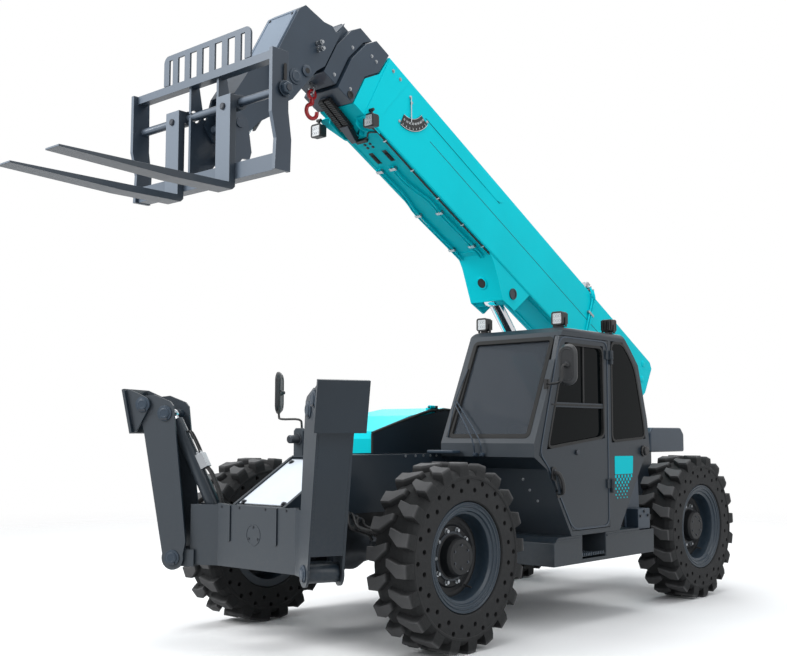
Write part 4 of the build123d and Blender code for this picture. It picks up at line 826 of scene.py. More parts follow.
def tyre_mesh():
    """A left-hand tyre about the origin, its axle along X."""
    wall = [  # (along the axle, radius), from the rim's seat to the edge of the tread
        (-0.137, 0.3225), (-0.137, 0.3670), (-0.163, 0.3700), (-0.170, 0.3760), (-0.170, 0.4050),
        (-0.168, 0.5150), (-0.173, 0.5200), (-0.174, 0.5330), (-0.168, 0.5420), (-0.146, 0.5640),
        (-0.110, 0.5760),
    ]
    profile = wall + [(0.0, TREAD_R)] + [(-x, r) for x, r in reversed(wall)]
    carcass = piece("carcass", hoop((0, 0, 0), LEFT, profile, 96), tyre_rubber, None)
    for holes in [hole_ring(*ring) for ring in HOLE_RINGS]:
        cut = carcass.modifiers.new("holes", "BOOLEAN")
        cut.operation = "DIFFERENCE"
        cut.solver = "EXACT"
        cut.object = holes
        settle(carcass)
        bpy.data.objects.remove(holes)
    joined = bmesh.new()
    joined.from_mesh(carcass.data)
    bpy.data.objects.remove(carcass)
    for hand, start in ((1, 0.0), (-1, math.pi / LUGS)):
        lug = soften(piece("lug", lug_mesh(hand), None, None), 0.004, 2, 40)
        settle(lug)
        grow(lug, RING, Count=LUGS, Start=start, Finish=tyre_rubber)
        joined.from_mesh(lug.data)
        bpy.data.objects.remove(lug)
    return joined


def turned_copy(mesh, hand, station):
    """A copy of a wheel mesh moved to its corner, mirrored for the right-hand side."""
    copy = mesh.copy()
    if hand < 0:
        bmesh.ops.scale(copy, vec=(-1, 1, 1), verts=copy.verts)
        bmesh.ops.reverse_faces(copy, faces=copy.faces)
    bmesh.ops.translate(copy, vec=(hand * WHEEL_X, station, WHEEL_R), verts=copy.verts)
    return copy


master = tyre_mesh()
for corner, (hand, station) in CORNERS.items():
    tyre = piece("tread_" + corner, turned_copy(master, hand, station), tyre_rubber, "wheel_" + corner)
    for polygon in tyre.data.polygons:
        polygon.use_smooth = False
    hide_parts("tyre_" + corner)
print("tyre triangles:", sum(len(f.verts) - 2 for f in master.faces))
master.free()

# %% [markdown]
# ## Rims and hubs
# A steel rim is rolled: its lip, flange, ledge and barrel are one profile turned round the axle. The
# disc sits deep inside, black partly as painted shade, with ten wheel nuts round a dark planetary hub.

# %% Rims, nuts and hubs
RIM_STEPS = (  # along the axle, radius
    (0.152, 0.3640), (0.160, 0.3610), (0.160, 0.3540), (0.152, 0.3500), (0.150, 0.3420), (0.156, 0.3370),
    (0.156, 0.3310), (0.146, 0.3270), (0.143, 0.3180), (0.147, 0.3130), (0.146, 0.3060), (0.134, 0.3010),
    (0.122, 0.2840), (0.112, 0.2800), (0.060, 0.2760), (0.034, 0.2740), (0.012, 0.2640), (0.012, 0.3060),
    (-0.154, 0.3060), (-0.154, 0.3640), (-0.140, 0.3640), (-0.136, 0.3220), (0.136, 0.3220), (0.140, 0.3640),
)
DISC_STEPS = (
    (-0.010, 0), (-0.010, 0.268), (0.022, 0.268), (0.022, 0.252), (0.014, 0.236), (0.014, 0.210),
    (0.024, 0.200), (0.024, 0.0),
)
HUB_STEPS = (
    (0.020, 0), (0.020, 0.150), (0.034, 0.150), (0.038, 0.138), (0.092, 0.130), (0.104, 0.122),
    (0.112, 0.116), (0.114, 0.090), (0.111, 0.084), (0.111, 0),
)
# how many, first one's place in steps, radius of their circle, how far out
NUT_CIRCLE = (10, 0, 0.176, 0.024)
SCREW_CIRCLE = (6, 0.5, 0.078, 0.110)

for corner, (hand, station) in CORNERS.items():
    middle = (hand * WHEEL_X, station, WHEEL_R)
    outward = LEFT * hand
    body = "wheel_" + corner
    rim = piece("rim_shell_" + corner, hoop(middle, outward, RIM_STEPS, 72), rim_paint, body)
    soften(rim, 0.002, 1, 25)
    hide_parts("rim_" + corner)
    # The disc takes the hub's black finish: partly black paint, partly painted shade for its deep place in
    # the rim.
    hub = turned(middle, outward, DISC_STEPS, 48)
    hub = piece("hub_" + corner, turned(middle, outward, HUB_STEPS, 48, hub), hub_black_and_disc_shade, body)
    soften(hub, 0.003, 2, 25)
    for label, bolts, size, finish in (
        ("wheel_nuts_", NUT_CIRCLE, (0.0125, 0.020), bright_steel),
        ("hub_screws_", SCREW_CIRCLE, (0.008, 0.007), dark_steel),
    ):
        count, first, circle_r, depth = bolts
        spots = []
        for i in range(count):
            angle = 2 * math.pi * (i + first) / count
            around = Vector((0, math.cos(angle), math.sin(angle)))
            spots.append((Vector(middle) + outward * depth + around * circle_r, outward))
        studs(label + corner, body, spots, *size, finish)
    valve = [Vector(middle) + outward * 0.030 + Vector((0, 0.12, -0.2)),
        Vector(middle) + outward * 0.085 + Vector((0, 0.135, -0.215))]
    piece("valve_" + corner, pipe(valve, 0.007, sides=8, smooth=1), hose_rubber, body)
print("wheels dressed:", len(CORNERS))

# %% [markdown]
# ## Cab
# The cab's glass sits in black rubber, so each window gets a band that follows its own outline. The
# benches below are the planes the work is laid out on: the cab's outer side and the windscreen.

# %% Windows
CAB_OUT = 1.150
CAB_IN = 0.275
CAB_MID = (CAB_IN + CAB_OUT) / 2
CAB_ROOF = 2.240
left_side = Bench((CAB_OUT, AXLE_MID, 0), (0, 1, 0), UP)
SCREEN_LOW, SCREEN_HIGH = Vector((0, -0.900, 1.370)), Vector((0, -0.530, 2.205))
screen = Bench((CAB_MID, AXLE_MID + SCREEN_LOW.y, SCREEN_LOW.z), LEFT, SCREEN_HIGH - SCREEN_LOW)
screen_run = (SCREEN_HIGH - SCREEN_LOW).length
DOOR_WINDOW = ((0.052, 1.405), (0.039, 2.125), (-0.494, 2.125), (-0.741, 1.325))
QUARTER_WINDOW = ((0.680, 1.400), (0.655, 1.550), (0.530, 1.975), (0.420, 2.100), (0.330, 2.175),
    (0.150, 2.175), (0.150, 1.370))
DOOR = ((0.105, 0.720), (0.105, 2.170), (-0.565, 2.170), (-0.835, 1.290), (-0.728, 1.195), (-0.415, 0.720))

seals = band(screen, rounded(0.767, 0.835, 0.046, (0, screen_run / 2)), 0.034, -0.020, 0.004)
band(left_side, ease_corners(DOOR_WINDOW, 0.075, 6), 0.020, -0.020, 0.004, seals)
band(left_side, ease_corners(QUARTER_WINDOW, 0.075, 6), 0.020, -0.020, 0.004, seals)
block(left_side, (-0.228, 1.900, -0.016), (0.020, 0.470, 0.012), seals)
block(left_side, (-0.330, 1.655, 0.002), (0.690, 0.012, 0.006), seals)
soften(piece("window_seals", seals, seal_rubber, "root"), 0.002)
# The side windows get a near-opaque dark film: partly tint, partly painted shade for the dim cab behind
# them.
for node, outline in (("door", DOOR_WINDOW), ("quarter", QUARTER_WINDOW)):
    depth = -0.0245 if node == "door" else -0.0045
    film = plate(left_side, ease_corners(outline, 0.075, 6), depth, depth + 0.003)
    piece("tint_and_shade_film_" + node, film, tint_and_shade_glass, "door" if node == "door" else "root")
edge = band(left_side, ease_corners(DOOR, 0.085, 6), 0.014, -0.006, 0.005)
soften(piece("door_rim", edge, slate_light, "door"), 0.003)
print("windows sealed")

# %% [markdown]
# The wiper is two thin arms on pivots under the screen and one long blade. Handle, lock and filler cap
# are pressed or moulded things of a few centimetres; a round bar or a turned profile makes each.

# %% Wiper, handle, lock and cap
wiper = bmesh.new()
elbow = screen.at(-0.392, 0.338, 0.030)
for pivot_x in (0.625, 0.690):
    foot = Vector((pivot_x, AXLE_MID - 0.925, 1.285))
    pipe([foot, screen.at(pivot_x - CAB_MID - 0.02, 0.02, 0.050), elbow + LEFT * (pivot_x - 0.65) * 0.5],
        0.005, wiper, 8, 3)
    turned(foot + FRONT * -0.02, FRONT, [(0, 0), (0, 0.016), (0.028, 0.016), (0.034, 0.010), (0.034, 0)],
        16, wiper)
pipe([screen.at(-0.376, 0.045, 0.012), screen.at(-0.392, 0.338, 0.022), screen.at(-0.365, 0.628, 0.012)],
    0.004, wiper, 8, 4)
piece("wiper_arms", wiper, slate_light, "root")
blade = plate(
    Bench(screen.at(-0.384, 0.338, 0.008), screen.right, screen.up),
    ((-0.006, -0.290), (0.006, -0.290), (0.024, 0.290), (0.012, 0.290)), -0.004, 0.006,
)
piece("wiper_blade", blade, seal_rubber, "root")

grip = [left_side.at(a, b, c) for a, b, c in (
    (-0.672, 1.152, 0.012), (-0.662, 1.148, 0.050), (-0.628, 1.085, 0.060), (-0.606, 1.015, 0.050),
    (-0.604, 1.004, 0.012),
)]
handle = pipe(grip, 0.015, None, 12, 6)
plate(left_side, rounded(0.062, 0.100, 0.024, (-0.664, 1.148)), 0, 0.014, handle)
plate(left_side, rounded(0.050, 0.062, 0.022, (-0.604, 1.000)), 0, 0.010, handle)
soften(piece("door_handle", handle, black_plastic, "door"), 0.003)
fittings = turned(left_side.at(-0.664, 1.170, 0.014), LEFT,
    [(0, 0), (0, 0.013), (0.006, 0.012), (0.006, 0)], 20)
turned(left_side.at(-0.349, 1.300, 0), LEFT, [(0, 0), (0, 0.020), (0.012, 0.020), (0.018, 0.014),
    (0.018, 0)], 20, fittings)
piece("door_lock", fittings, dark_steel, "door")
cap = turned(
    left_side.at(0.640, 1.300, 0), LEFT,
    [(0, 0), (0, 0.045), (0.012, 0.045), (0.018, 0.036), (0.034, 0.036), (0.040, 0.028), (0.040, 0)], 28,
)
soften(piece("filler_cap", cap, black_plastic, "root"), 0.002)

# %% [markdown]
# The side panel behind the door carries a teal panel that breaks up downwards into small squares.

# %% Teal panel
def right_limit(height):
    """Rear edge of the teal panel at a height."""
    return 0.470 - max(0.0, 1.130 - height) * 0.42


panel = plate(left_side, ease_corners(((0.190, 1.120), (0.462, 1.120), (0.472, 1.262), (0.190, 1.265)),
    0.012), 0, 0.002)
SQUARE = 0.024
for row in range(8):
    height = 1.103 - row * SQUARE
    side = SQUARE * (0.96 - 0.075 * row)
    for column in range(12):
        station = 0.202 + column * SQUARE
        if station < right_limit(height) - SQUARE / 2 and (row + column) % 2 == 0:
            block(left_side, (station, height, 0.001), (side, side, 0.002), panel)
piece("teal_panel", panel, teal_paint, "root")

# %% [markdown]
# Work lamps are square housings with a clear face over six small reflectors. The two front lamps look
# forward and the third one looks back. Each face is laid out on its own bench.

# %% Work lamps
LAMPS = ((CAB_IN + 0.070, -0.440, 1), (CAB_OUT - 0.080, -0.440, 1), (CAB_OUT - 0.090, 0.270, -1))


def lamp_face(bench, rims, lenses, cells):
    """Rim, lens and six cells of a work lamp 0.1 m across."""
    band(bench, rounded(0.104, 0.104, 0.020), 0.012, -0.004, 0.012, rims)
    plate(bench, rounded(0.084, 0.084, 0.012), 0.001, 0.008, lenses)
    for spot in ((-0.024, 0.018), (0, 0.018), (0.024, 0.018), (-0.024, -0.018), (0, -0.018),
        (0.024, -0.018)):
        hoop(bench.at(*spot, 0), bench.out, [(0.007, 0.0110), (0.0095, 0.0108), (0.0095, 0.0096),
            (0.007, 0.0094)], 16, cells)


rims, lenses, cells, yokes = (bmesh.new() for _ in range(4))
for x, station, way in LAMPS:
    front = AXLE_MID + station + (-0.030 if way > 0 else 0.030)
    bench = Bench((x, front, CAB_ROOF + 0.072), LEFT * way, UP)
    lamp_face(bench, rims, lenses, cells)
    back = Bench((x, AXLE_MID + station + 0.030 * way, CAB_ROOF + 0.072), LEFT * way, UP)
    for fin in range(6):
        block(back, ((fin - 2.5) * 0.015, 0, -0.010), (0.004, 0.080, 0.022), yokes)
    for hand in (1, -1):
        block(bench, (hand * 0.055, -0.030, -0.030), (0.005, 0.070, 0.022), yokes)
    block(bench, (0, -0.062, -0.030), (0.110, 0.005, 0.022), yokes)
soften(piece("lamp_rims", rims, black_plastic, "root"), 0.002)
piece("lamp_lenses", lenses, lens_clear, "root")
piece("lamp_cells", cells, bright_steel, "root")
piece("lamp_yokes", yokes, black_plastic, "root")
stalk = turned((CAB_OUT - 0.210, AXLE_MID - 0.300, CAB_ROOF), UP,
    [(0, 0), (0, 0.022), (0.03, 0.018), (0.055, 0.014), (0.060, 0)], 20)
piece("aerial_foot", stalk, black_plastic, "root")

# %% [markdown]
# A low pad lies under the screen's corner. Rows of screws hold the front panel and the chassis covers.

# %% Pad and screws
pad = block(Bench((0.355, AXLE_MID - 0.965, 1.290), LEFT, (0, 1, 0)), (0, 0, 0.014), (0.255, 0.100, 0.024))
soften(piece("fender_pad", pad, slate_light, "root"), 0.008, 3)
screws = [((CAB_IN + 0.735, AXLE_MID - 0.845, 1.110), FRONT), ((1.030, AXLE_MID - 0.790, 1.030), FRONT),
    ((1.060, AXLE_MID - 0.735, 0.950), FRONT)]
for station in (-1.30, -1.19, -1.10, -1.02, -0.95, -0.88):
    screws.append(((0.271, AXLE_MID + station, 1.275), LEFT))
studs("front_screws", "root", screws, 0.007, 0.006, bright_steel)
studs("door_screws", "door", [(left_side.at(-0.320 + k * 0.16, 1.655, 0.001), LEFT)
    for k in range(-1, 3)], 0.005, 0.004, dark_steel)
print("cab fitted")

# %% [markdown]
# ## Driver's seat
# The seat is a soft thing. A cushion is a box whose faces bulge and whose edges are drawn in by seams,
# so each part is a subdivided cage, fuller in the middle than at the edge, with raised side bolsters.

# %% Seat cushions
def cushion(bench, width, length, height, bolster, name):
    """A padded block on a bench: width along right, length along up, height along out."""
    mesh = bmesh.new()
    across, along = 12, 12

    def surface(i, j, top):
        """A corner of the cage: the underside is nearly flat, the top has bolsters and two seams."""
        u, v = i / across * 2 - 1, j / along * 2 - 1
        edge = (1 - abs(u) ** 5) * (1 - abs(v) ** 5)
        filling = height * (0.62 + 0.38 * edge)
        roll = bolster * math.exp(-((abs(u) - 0.78) / 0.16) ** 2) * (1 - abs(v) ** 6)
        groove = 0.006 * (math.exp(-((v - 0.30) / 0.05) ** 2) + math.exp(-((v + 0.30) / 0.05) ** 2))
        inset = 1 - 0.05 * (abs(v) ** 6)
        deep = filling + roll - groove if top else height * 0.02 * edge
        return bench.at(u * inset * width / 2, v * length / 2 * (1 - 0.05 * abs(u) ** 6), deep)

    for top in (True, False):
        grid = [[mesh.verts.new(surface(i, j, top)) for j in range(along + 1)] for i in range(across + 1)]
        for i in range(across):
            for j in range(along):
                mesh.faces.new((grid[i][j], grid[i + 1][j], grid[i + 1][j + 1], grid[i][j + 1]))
        if top:
            upper = grid
        else:
            rim = [(i, 0) for i in range(across)] + [(across, j) for j in range(along)]
            rim += [(i, along) for i in range(across, 0, -1)] + [(0, j) for j in range(along, 0, -1)]
            for (a, b), (c, d) in zip(rim, rim[1:] + rim[:1]):
                mesh.faces.new((upper[a][b], upper[c][d], grid[c][d], grid[a][b]))
    bmesh.ops.recalc_face_normals(mesh, faces=mesh.faces)
    made = piece(name, mesh, seat_cloth, "root")
    round_off = made.modifiers.new("round", "SUBSURF")
    round_off.levels = round_off.render_levels = 1
    for polygon in made.data.polygons:
        polygon.use_smooth = True
    return made


SEAT_Z = 1.020
base = cushion(Bench((CAB_MID, AXLE_MID + 0.020, SEAT_Z), LEFT, (0, 1, 0)), 0.500, 0.500, 0.125, 0.022,
    "seat_cushion")
back_dir = Vector((0, 0.115, 0.600))
back = cushion(Bench((CAB_MID, AXLE_MID + 0.255, 1.420), LEFT, back_dir), 0.460, 0.590, 0.090, 0.024,
    "seat_back")
shell = plate(
    Bench((CAB_MID, AXLE_MID + 0.262, 1.420), LEFT, back_dir), rounded(0.440, 0.580, 0.090), -0.030, 0.0,
)
block(Bench((CAB_MID, AXLE_MID, 0.720), LEFT, (0, 1, 0)), (0, 0, 0.150), (0.380, 0.380, 0.300), shell)
for hand in (1, -1):
    pipe([(CAB_MID + hand * 0.255, AXLE_MID + 0.20, 1.24),
        (CAB_MID + hand * 0.262, AXLE_MID - 0.05, 1.25)], 0.022, shell, 10, 1)
shell = soften(piece("seat_frame", shell, black_plastic, "root"), 0.006)
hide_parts("driver_seat")
print("seat made")

# %% [markdown]
# ## Mirrors
# A mirror is a long oval shell with a pressed rib round its back and glass in its front. Its arm is one
# bent tube that runs from a clamp on the pillar to a ball joint behind the shell's middle.

# %% Mirrors
def mirror(name, middle, facing, tall, wide, arm_points, clamp):
    """Shell, glass, joint and arm of a mirror whose back faces the given way."""
    back = Bench(middle, UP.cross(Vector(facing)), UP)
    shell = bmesh.new()
    outer = rounded(wide, tall, wide / 2 - 0.002, steps=12)
    inner = rounded(wide * 0.78, tall * 0.88, wide * 0.39 - 0.002, steps=12)
    section = ((outer, -0.022), (outer, -0.006), (inner, 0.014))
    loops = [loop_of(shell, back, edge, depth) for edge, depth in section]
    faces = [shell.faces.new(loops[0]), shell.faces.new(loops[-1])]
    for first, second in zip(loops, loops[1:]):
        faces += skin(shell, first, second)
    bmesh.ops.recalc_face_normals(shell, faces=faces)
    band(back, rounded(wide * 0.66, tall * 0.78, wide * 0.33 - 0.002, steps=12), 0.007, 0.012, 0.018, shell)
    turned(back.at(0, 0, 0.012), back.out, [(0, 0), (0, 0.026), (0.010, 0.024), (0.022, 0.014),
        (0.030, 0.014), (0.030, 0)], 20, shell)
    made = soften(piece(name, shell, mirror_shell, "root"), 0.003)
    glass = plate(back, rounded(wide - 0.014, tall - 0.014, wide / 2 - 0.009, steps=12), -0.0245, -0.020)
    piece(name + "_glass", glass, chrome, "root")
    arm = pipe([*arm_points, back.at(0, 0, 0.036)], 0.0095, None, 10, 4)
    clamp_bench = Bench(clamp, (0, 1, 0), UP)
    block(clamp_bench, (0, 0, 0.006), (0.040, 0.074, 0.026), arm)
    for height in (-0.026, 0.026):
        turned(clamp_bench.at(0, height, 0.016), clamp_bench.out, rod(0, 0.008, 0.009), 6, arm)
    piece(name + "_arm", arm, black_plastic, "root")
    return made


LEFT_MIRROR = Vector((1.338, AXLE_MID - 0.745, 1.935))
RIGHT_MIRROR = Vector((-1.335, AXLE_MID - 1.128, 1.790))
left_clamp = Vector((CAB_OUT, AXLE_MID - 0.745, 1.800))
first = mirror("mirror_left", LEFT_MIRROR, (0.25, -1, 0), 0.300, 0.140, (
    left_clamp + Vector((0.020, 0, 0)), left_clamp + Vector((0.060, -0.030, 0)),
    (1.310, AXLE_MID - 0.815, 1.805), (1.338, AXLE_MID - 0.815, 1.840), (1.338, AXLE_MID - 0.812, 1.915)),
    left_clamp)
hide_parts("mirrors")
low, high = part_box("mirrors")
mirror("mirror_right", RIGHT_MIRROR, (0.86, 0.50, 0), 0.360, 0.150, (
    (-1.100, AXLE_MID - 1.090, 1.300), (-1.100, AXLE_MID - 1.090, 1.500), (-1.120, AXLE_MID - 1.105, 1.560),
    (-1.270, AXLE_MID - 1.165, 1.565), (-1.300, AXLE_MID - 1.170, 1.600), (-1.300, AXLE_MID - 1.168, 1.770)),
    (-1.100, AXLE_MID - 1.090, 1.330))
print("mirrors node spans", [round(v, 3) for v in low], [round(v, 3) for v in high])

# %% [markdown]
# ## Nose, hood and chassis details
# The pale cover over the nose is held by four bolts in a dark rim. Flat bars and a round inspection
# cover sit on the cross member's front plate. A rubber seal runs where the hood meets its side panel.

# %% Nose and front plate
nose = Bench((0, AXLE_MID - 2.475, 0.957), LEFT, (0, 0.515, 0.313))
NOSE_LEN = 0.600
cover_corners = [Vector(v.co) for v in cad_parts["nose_cover"].data.vertices]
nose_top_at = max((corner - nose.origin).dot(nose.out) for corner in cover_corners)
rim = band(nose, rounded(0.510, NOSE_LEN + 0.01, 0.030, (0, NOSE_LEN / 2)), 0.016, -0.010,
    nose_top_at + 0.004)
soften(piece("nose_rim", rim, slate_paint, "root"), 0.003)
spots = [(nose.at(x * 0.205, y, nose_top_at), nose.out) for x in (-1, 1) for y in (0.045, NOSE_LEN - 0.050)]
studs("nose_bolts", "root", spots, 0.013, 0.012, dark_steel, washer=1.7)
front = Bench((0, AXLE_MID - 2.500, 0), LEFT, UP)
bars = bmesh.new()
for x in (-0.274, 0.209):
    plate(front, rounded(0.030, 0.250, 0.012, (x, 0.828)), -0.002, 0.010, bars)
hoop(front.at(-0.020, 0.760, 0), front.out, [(-0.002, 0.074), (0.003, 0.073), (0.003, 0.066),
    (-0.002, 0.065)], 48, bars)
soften(piece("front_bars", bars, slate_paint, "root"), 0.002)
spots = [(front.at(-0.020 + 0.052 * math.cos(a), 0.760 + 0.052 * math.sin(a), 0), FRONT)
    for a in (1.57, 3.67, 5.76)]
spots += [(front.at(x, 0.935, 0), FRONT) for x in (-0.36, -0.17, 0.10, 0.31)]
studs("front_plate_bolts", "root", spots, 0.007, 0.005, dark_steel)
EAR_X, EAR_Z = 0.198, 1.400
ears = bmesh.new()
for hand in (1, -1):
    turned((hand * EAR_X, AXLE_MID - 2.020, EAR_Z), FRONT,
        [(-0.075, 0), (-0.075, 0.030), (0.008, 0.030), (0.014, 0.022), (0.014, 0)], 24, ears)
    turned((hand * EAR_X, AXLE_MID - 1.946, EAR_Z), FRONT, rod(0, 0.010, 0.042), 24, ears)
soften(piece("ear_pins", ears, dark_steel, "root"), 0.003)

# %% Hood seal, latches and louvres
PANEL_LINE = ((-1.090, 1.440), (-0.620, 1.570), (-0.200, 1.640), (0.900, 1.560))
SEAL_X = -0.277
seal = pipe([(SEAL_X, AXLE_MID + y, z + 0.006) for y, z in PANEL_LINE], 0.012, None, 10, 3)
pipe([(SEAL_X, AXLE_MID - 1.090, 1.272), (SEAL_X, AXLE_MID - 1.090, 1.440)], 0.010, seal, 8, 1)
piece("hood_seal", seal, seal_rubber, "root")
right_side = Bench((-1.120, AXLE_MID, 0), (0, -1, 0), UP)
slats = bmesh.new()
for middle in (-0.45, 0.35):
    band(right_side, rounded(0.52, 0.50, 0.03, (middle, 0.930)), 0.018, -0.002, 0.008, slats)
    for row in range(13):
        height = 0.726 + row * 0.034
        slat = [(0.0, -0.012), (0.010, -0.012), (0.004, 0.010), (0.0, 0.012)]
        across = Bench(right_side.at(middle - 0.24, height, 0), right_side.out, UP)
        plate(across, slat, -0.48, 0.0, slats)
soften(piece("bay_louvres", slats, slate_paint, "root"), 0.0015, 1)
latches = bmesh.new()
for station in (-0.62, 0.10, 0.70):
    block(right_side, (station, 1.272, 0.010), (0.045, 0.075, 0.020), latches)
    turned(right_side.at(station, 1.250, 0.018), right_side.out,
        [(0, 0), (0, 0.012), (0.008, 0.010), (0.008, 0)], 16, latches)
soften(piece("bay_latches", latches, black_plastic, "root"), 0.003)
exhaust = turned((-0.860, AXLE_MID + 0.980, 1.050), UP, [
    (0, 0), (0, 0.060), (0.42, 0.060), (0.44, 0.040), (0.62, 0.038), (0.70, 0.038), (0.70, 0.033),
    (0.60, 0.033), (0.60, 0)], 32)
block(Bench((-0.860, AXLE_MID + 0.930, 1.200), LEFT, UP), (0, 0, -0.020), (0.090, 0.090, 0.070), exhaust)
soften(piece("exhaust", exhaust, dark_steel, "root"), 0.003)
print("nose and hood fitted")

# %% [markdown]
# Hoses to the axles and the steering cylinders are clamped at both ends, so they are fixed bent pipes.
# Each starts at a bulkhead fitting in the chassis and ends at the axle's middle.

# %% Axle hoses and steering cylinders
hoses, fittings = bmesh.new(), bmesh.new()
for way in (-1, 1):
    station = AXLE_MID + way * AXLE_FROM_MID
    for k in range(4):
        x = 0.300 + 0.035 * (k % 2)
        start = Vector((0.272, station - 0.30 + k * 0.050, 0.900 - 0.020 * k))
        end = Vector((0.420 + 0.07 * k, station - 0.150, 0.690))
        pipe([start, start + LEFT * 0.05, (x + 0.08, station - 0.33 + k * 0.04, 0.80),
            end + Vector((0, -0.05, 0.06)), end], 0.011, hoses, 8, 4)
        turned(start, LEFT, [(-0.002, 0), (-0.002, 0.018), (0.022, 0.018), (0.022, 0.013), (0.045, 0.013),
            (0.045, 0)], 10, fittings)
        turned(end, FRONT, [(-0.030, 0), (-0.030, 0.018), (0.010, 0.018), (0.024, 0.014), (0.024, 0)], 10,
            fittings)
    for hand in (1, -1):
        steer = Vector((hand * 0.180, station + 0.150, 0.625))
        turned(steer, LEFT * hand, [(0, 0), (0, 0.040), (0.300, 0.040), (0.305, 0.030), (0.305, 0.018),
            (0.430, 0.018), (0.430, 0)], 24, fittings)
piece("axle_hoses", hoses, hose_rubber, "root")
soften(piece("axle_fittings", fittings, cast_paint, "root"), 0.002)

# %% [markdown]
# ## Steps and the bracket behind the cab
# The tread in the step is an expanded plate: rows of raised teeth on a grid that keep a wet boot from
# slipping. A bracket with a round hole and a bolted box at its foot stands behind the cab.

# %% Step tread and bracket
teeth = bmesh.new()
for row in range(7):
    for column in range(10):
        x = 0.930 + row * 0.034
        y = AXLE_MID - 0.270 + column * 0.030 + 0.015 * (row % 2)
        turned((x, y, 0.521), UP, [(0, 0.011), (0.007, 0.007), (0.007, 0)], 6, teeth)
nose_strip = Bench((CAB_OUT - 0.012, AXLE_MID, 0.518), (0, 1, 0), UP)
for column in range(13):
    block(nose_strip, (-0.275 + column * 0.0245, 0.012, 0), (0.012, 0.022, 0.014), teeth)
piece("step_teeth", teeth, slate_light, "root")
lip = bmesh.new()
for low, high in ((-0.640, -0.300), (0.060, 0.775)):
    block(left_side, ((low + high) / 2, 0.655, 0.003), (high - low, 0.014, 0.006), lip)
soften(piece("step_lips", lip, slate_paint, "root"), 0.002)
bracket = plate(left_side, ease_corners(((0.560, 0.665), (0.800, 0.665), (0.780, 1.080), (0.710, 1.165),
    (0.610, 1.165), (0.560, 1.060)), 0.03), -0.150, -0.134)
band(left_side, circle(0.050, (0.675, 1.055)), 0.016, -0.136, -0.118, bracket)
block(left_side, (0.680, 0.745, -0.080), (0.190, 0.165, 0.110), bracket)
soften(piece("rear_bracket", bracket, slate_light, "root"), 0.006)
studs("bracket_bolts", "root", [(left_side.at(a, b, -0.025), LEFT)
    for a, b in ((0.620, 0.770), (0.740, 0.770), (0.680, 0.805))], 0.010, 0.010, dark_steel)
# Painted shade: a dark disc in the bracket's ring stands for the shaded inside of its hole.
hole_shade = turned(left_side.at(0.675, 1.055, -0.135), LEFT, rod(0, 0.004, 0.040), 24)
piece("bracket_hole_shade", hole_shade, seal_rubber, "root")

# %% Rear lamps
low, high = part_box("counterweight")
rear = Bench((0, high[1], (low[2] + high[2]) / 2), -LEFT, UP)
housings, reds, ambers = bmesh.new(), bmesh.new(), bmesh.new()
for hand in (1, -1):
    block(rear, (hand * 0.420, 0.080, 0.014), (0.190, 0.090, 0.032), housings)
    plate(rear, rounded(0.080, 0.066, 0.012, (hand * 0.375, 0.080)), 0.028, 0.036, reds)
    plate(rear, rounded(0.080, 0.066, 0.012, (hand * 0.465, 0.080)), 0.028, 0.036, ambers)
soften(piece("rear_lamp_boxes", housings, black_plastic, "root"), 0.004)
soften(piece("rear_lamp_reds", reds, hook_red, "root"), 0.002)
soften(piece("rear_lamp_ambers", ambers, yellow_paint, "root"), 0.002)
print("body fitted")

# %% [markdown]
# ## Stabilizers
# Each stabilizer swings in a plane turned forward. Its bench lies in that plane, with `reach` outward
# from the arm's pivot. Every pin ends in a stepped washer with a keeper plate, in front and behind.

# %% Stabilizer pins, pipes and blocks
SPLAY = math.radians(25)
RAM_FOOT, RAM_RUN = Vector((-0.300, 0.270)), Vector((0.380, 0.737)).normalized()
RAM_ASIDE = Vector((-RAM_RUN.y, RAM_RUN.x))
ARM_PIVOT = Vector((0.725, AXLE_MID - 2.570, 0.577))


def stabilizer(hand):
    """Bench in a stabilizer's plane, facing forward, and a maker of its places."""
    out = Vector((hand * math.cos(SPLAY), -math.sin(SPLAY), 0))
    bench = Bench((hand * ARM_PIVOT.x, ARM_PIVOT.y, ARM_PIVOT.z), out * hand, UP)
    return lambda reach, height, depth=0.0: bench.at(hand * reach, height, depth), bench.out


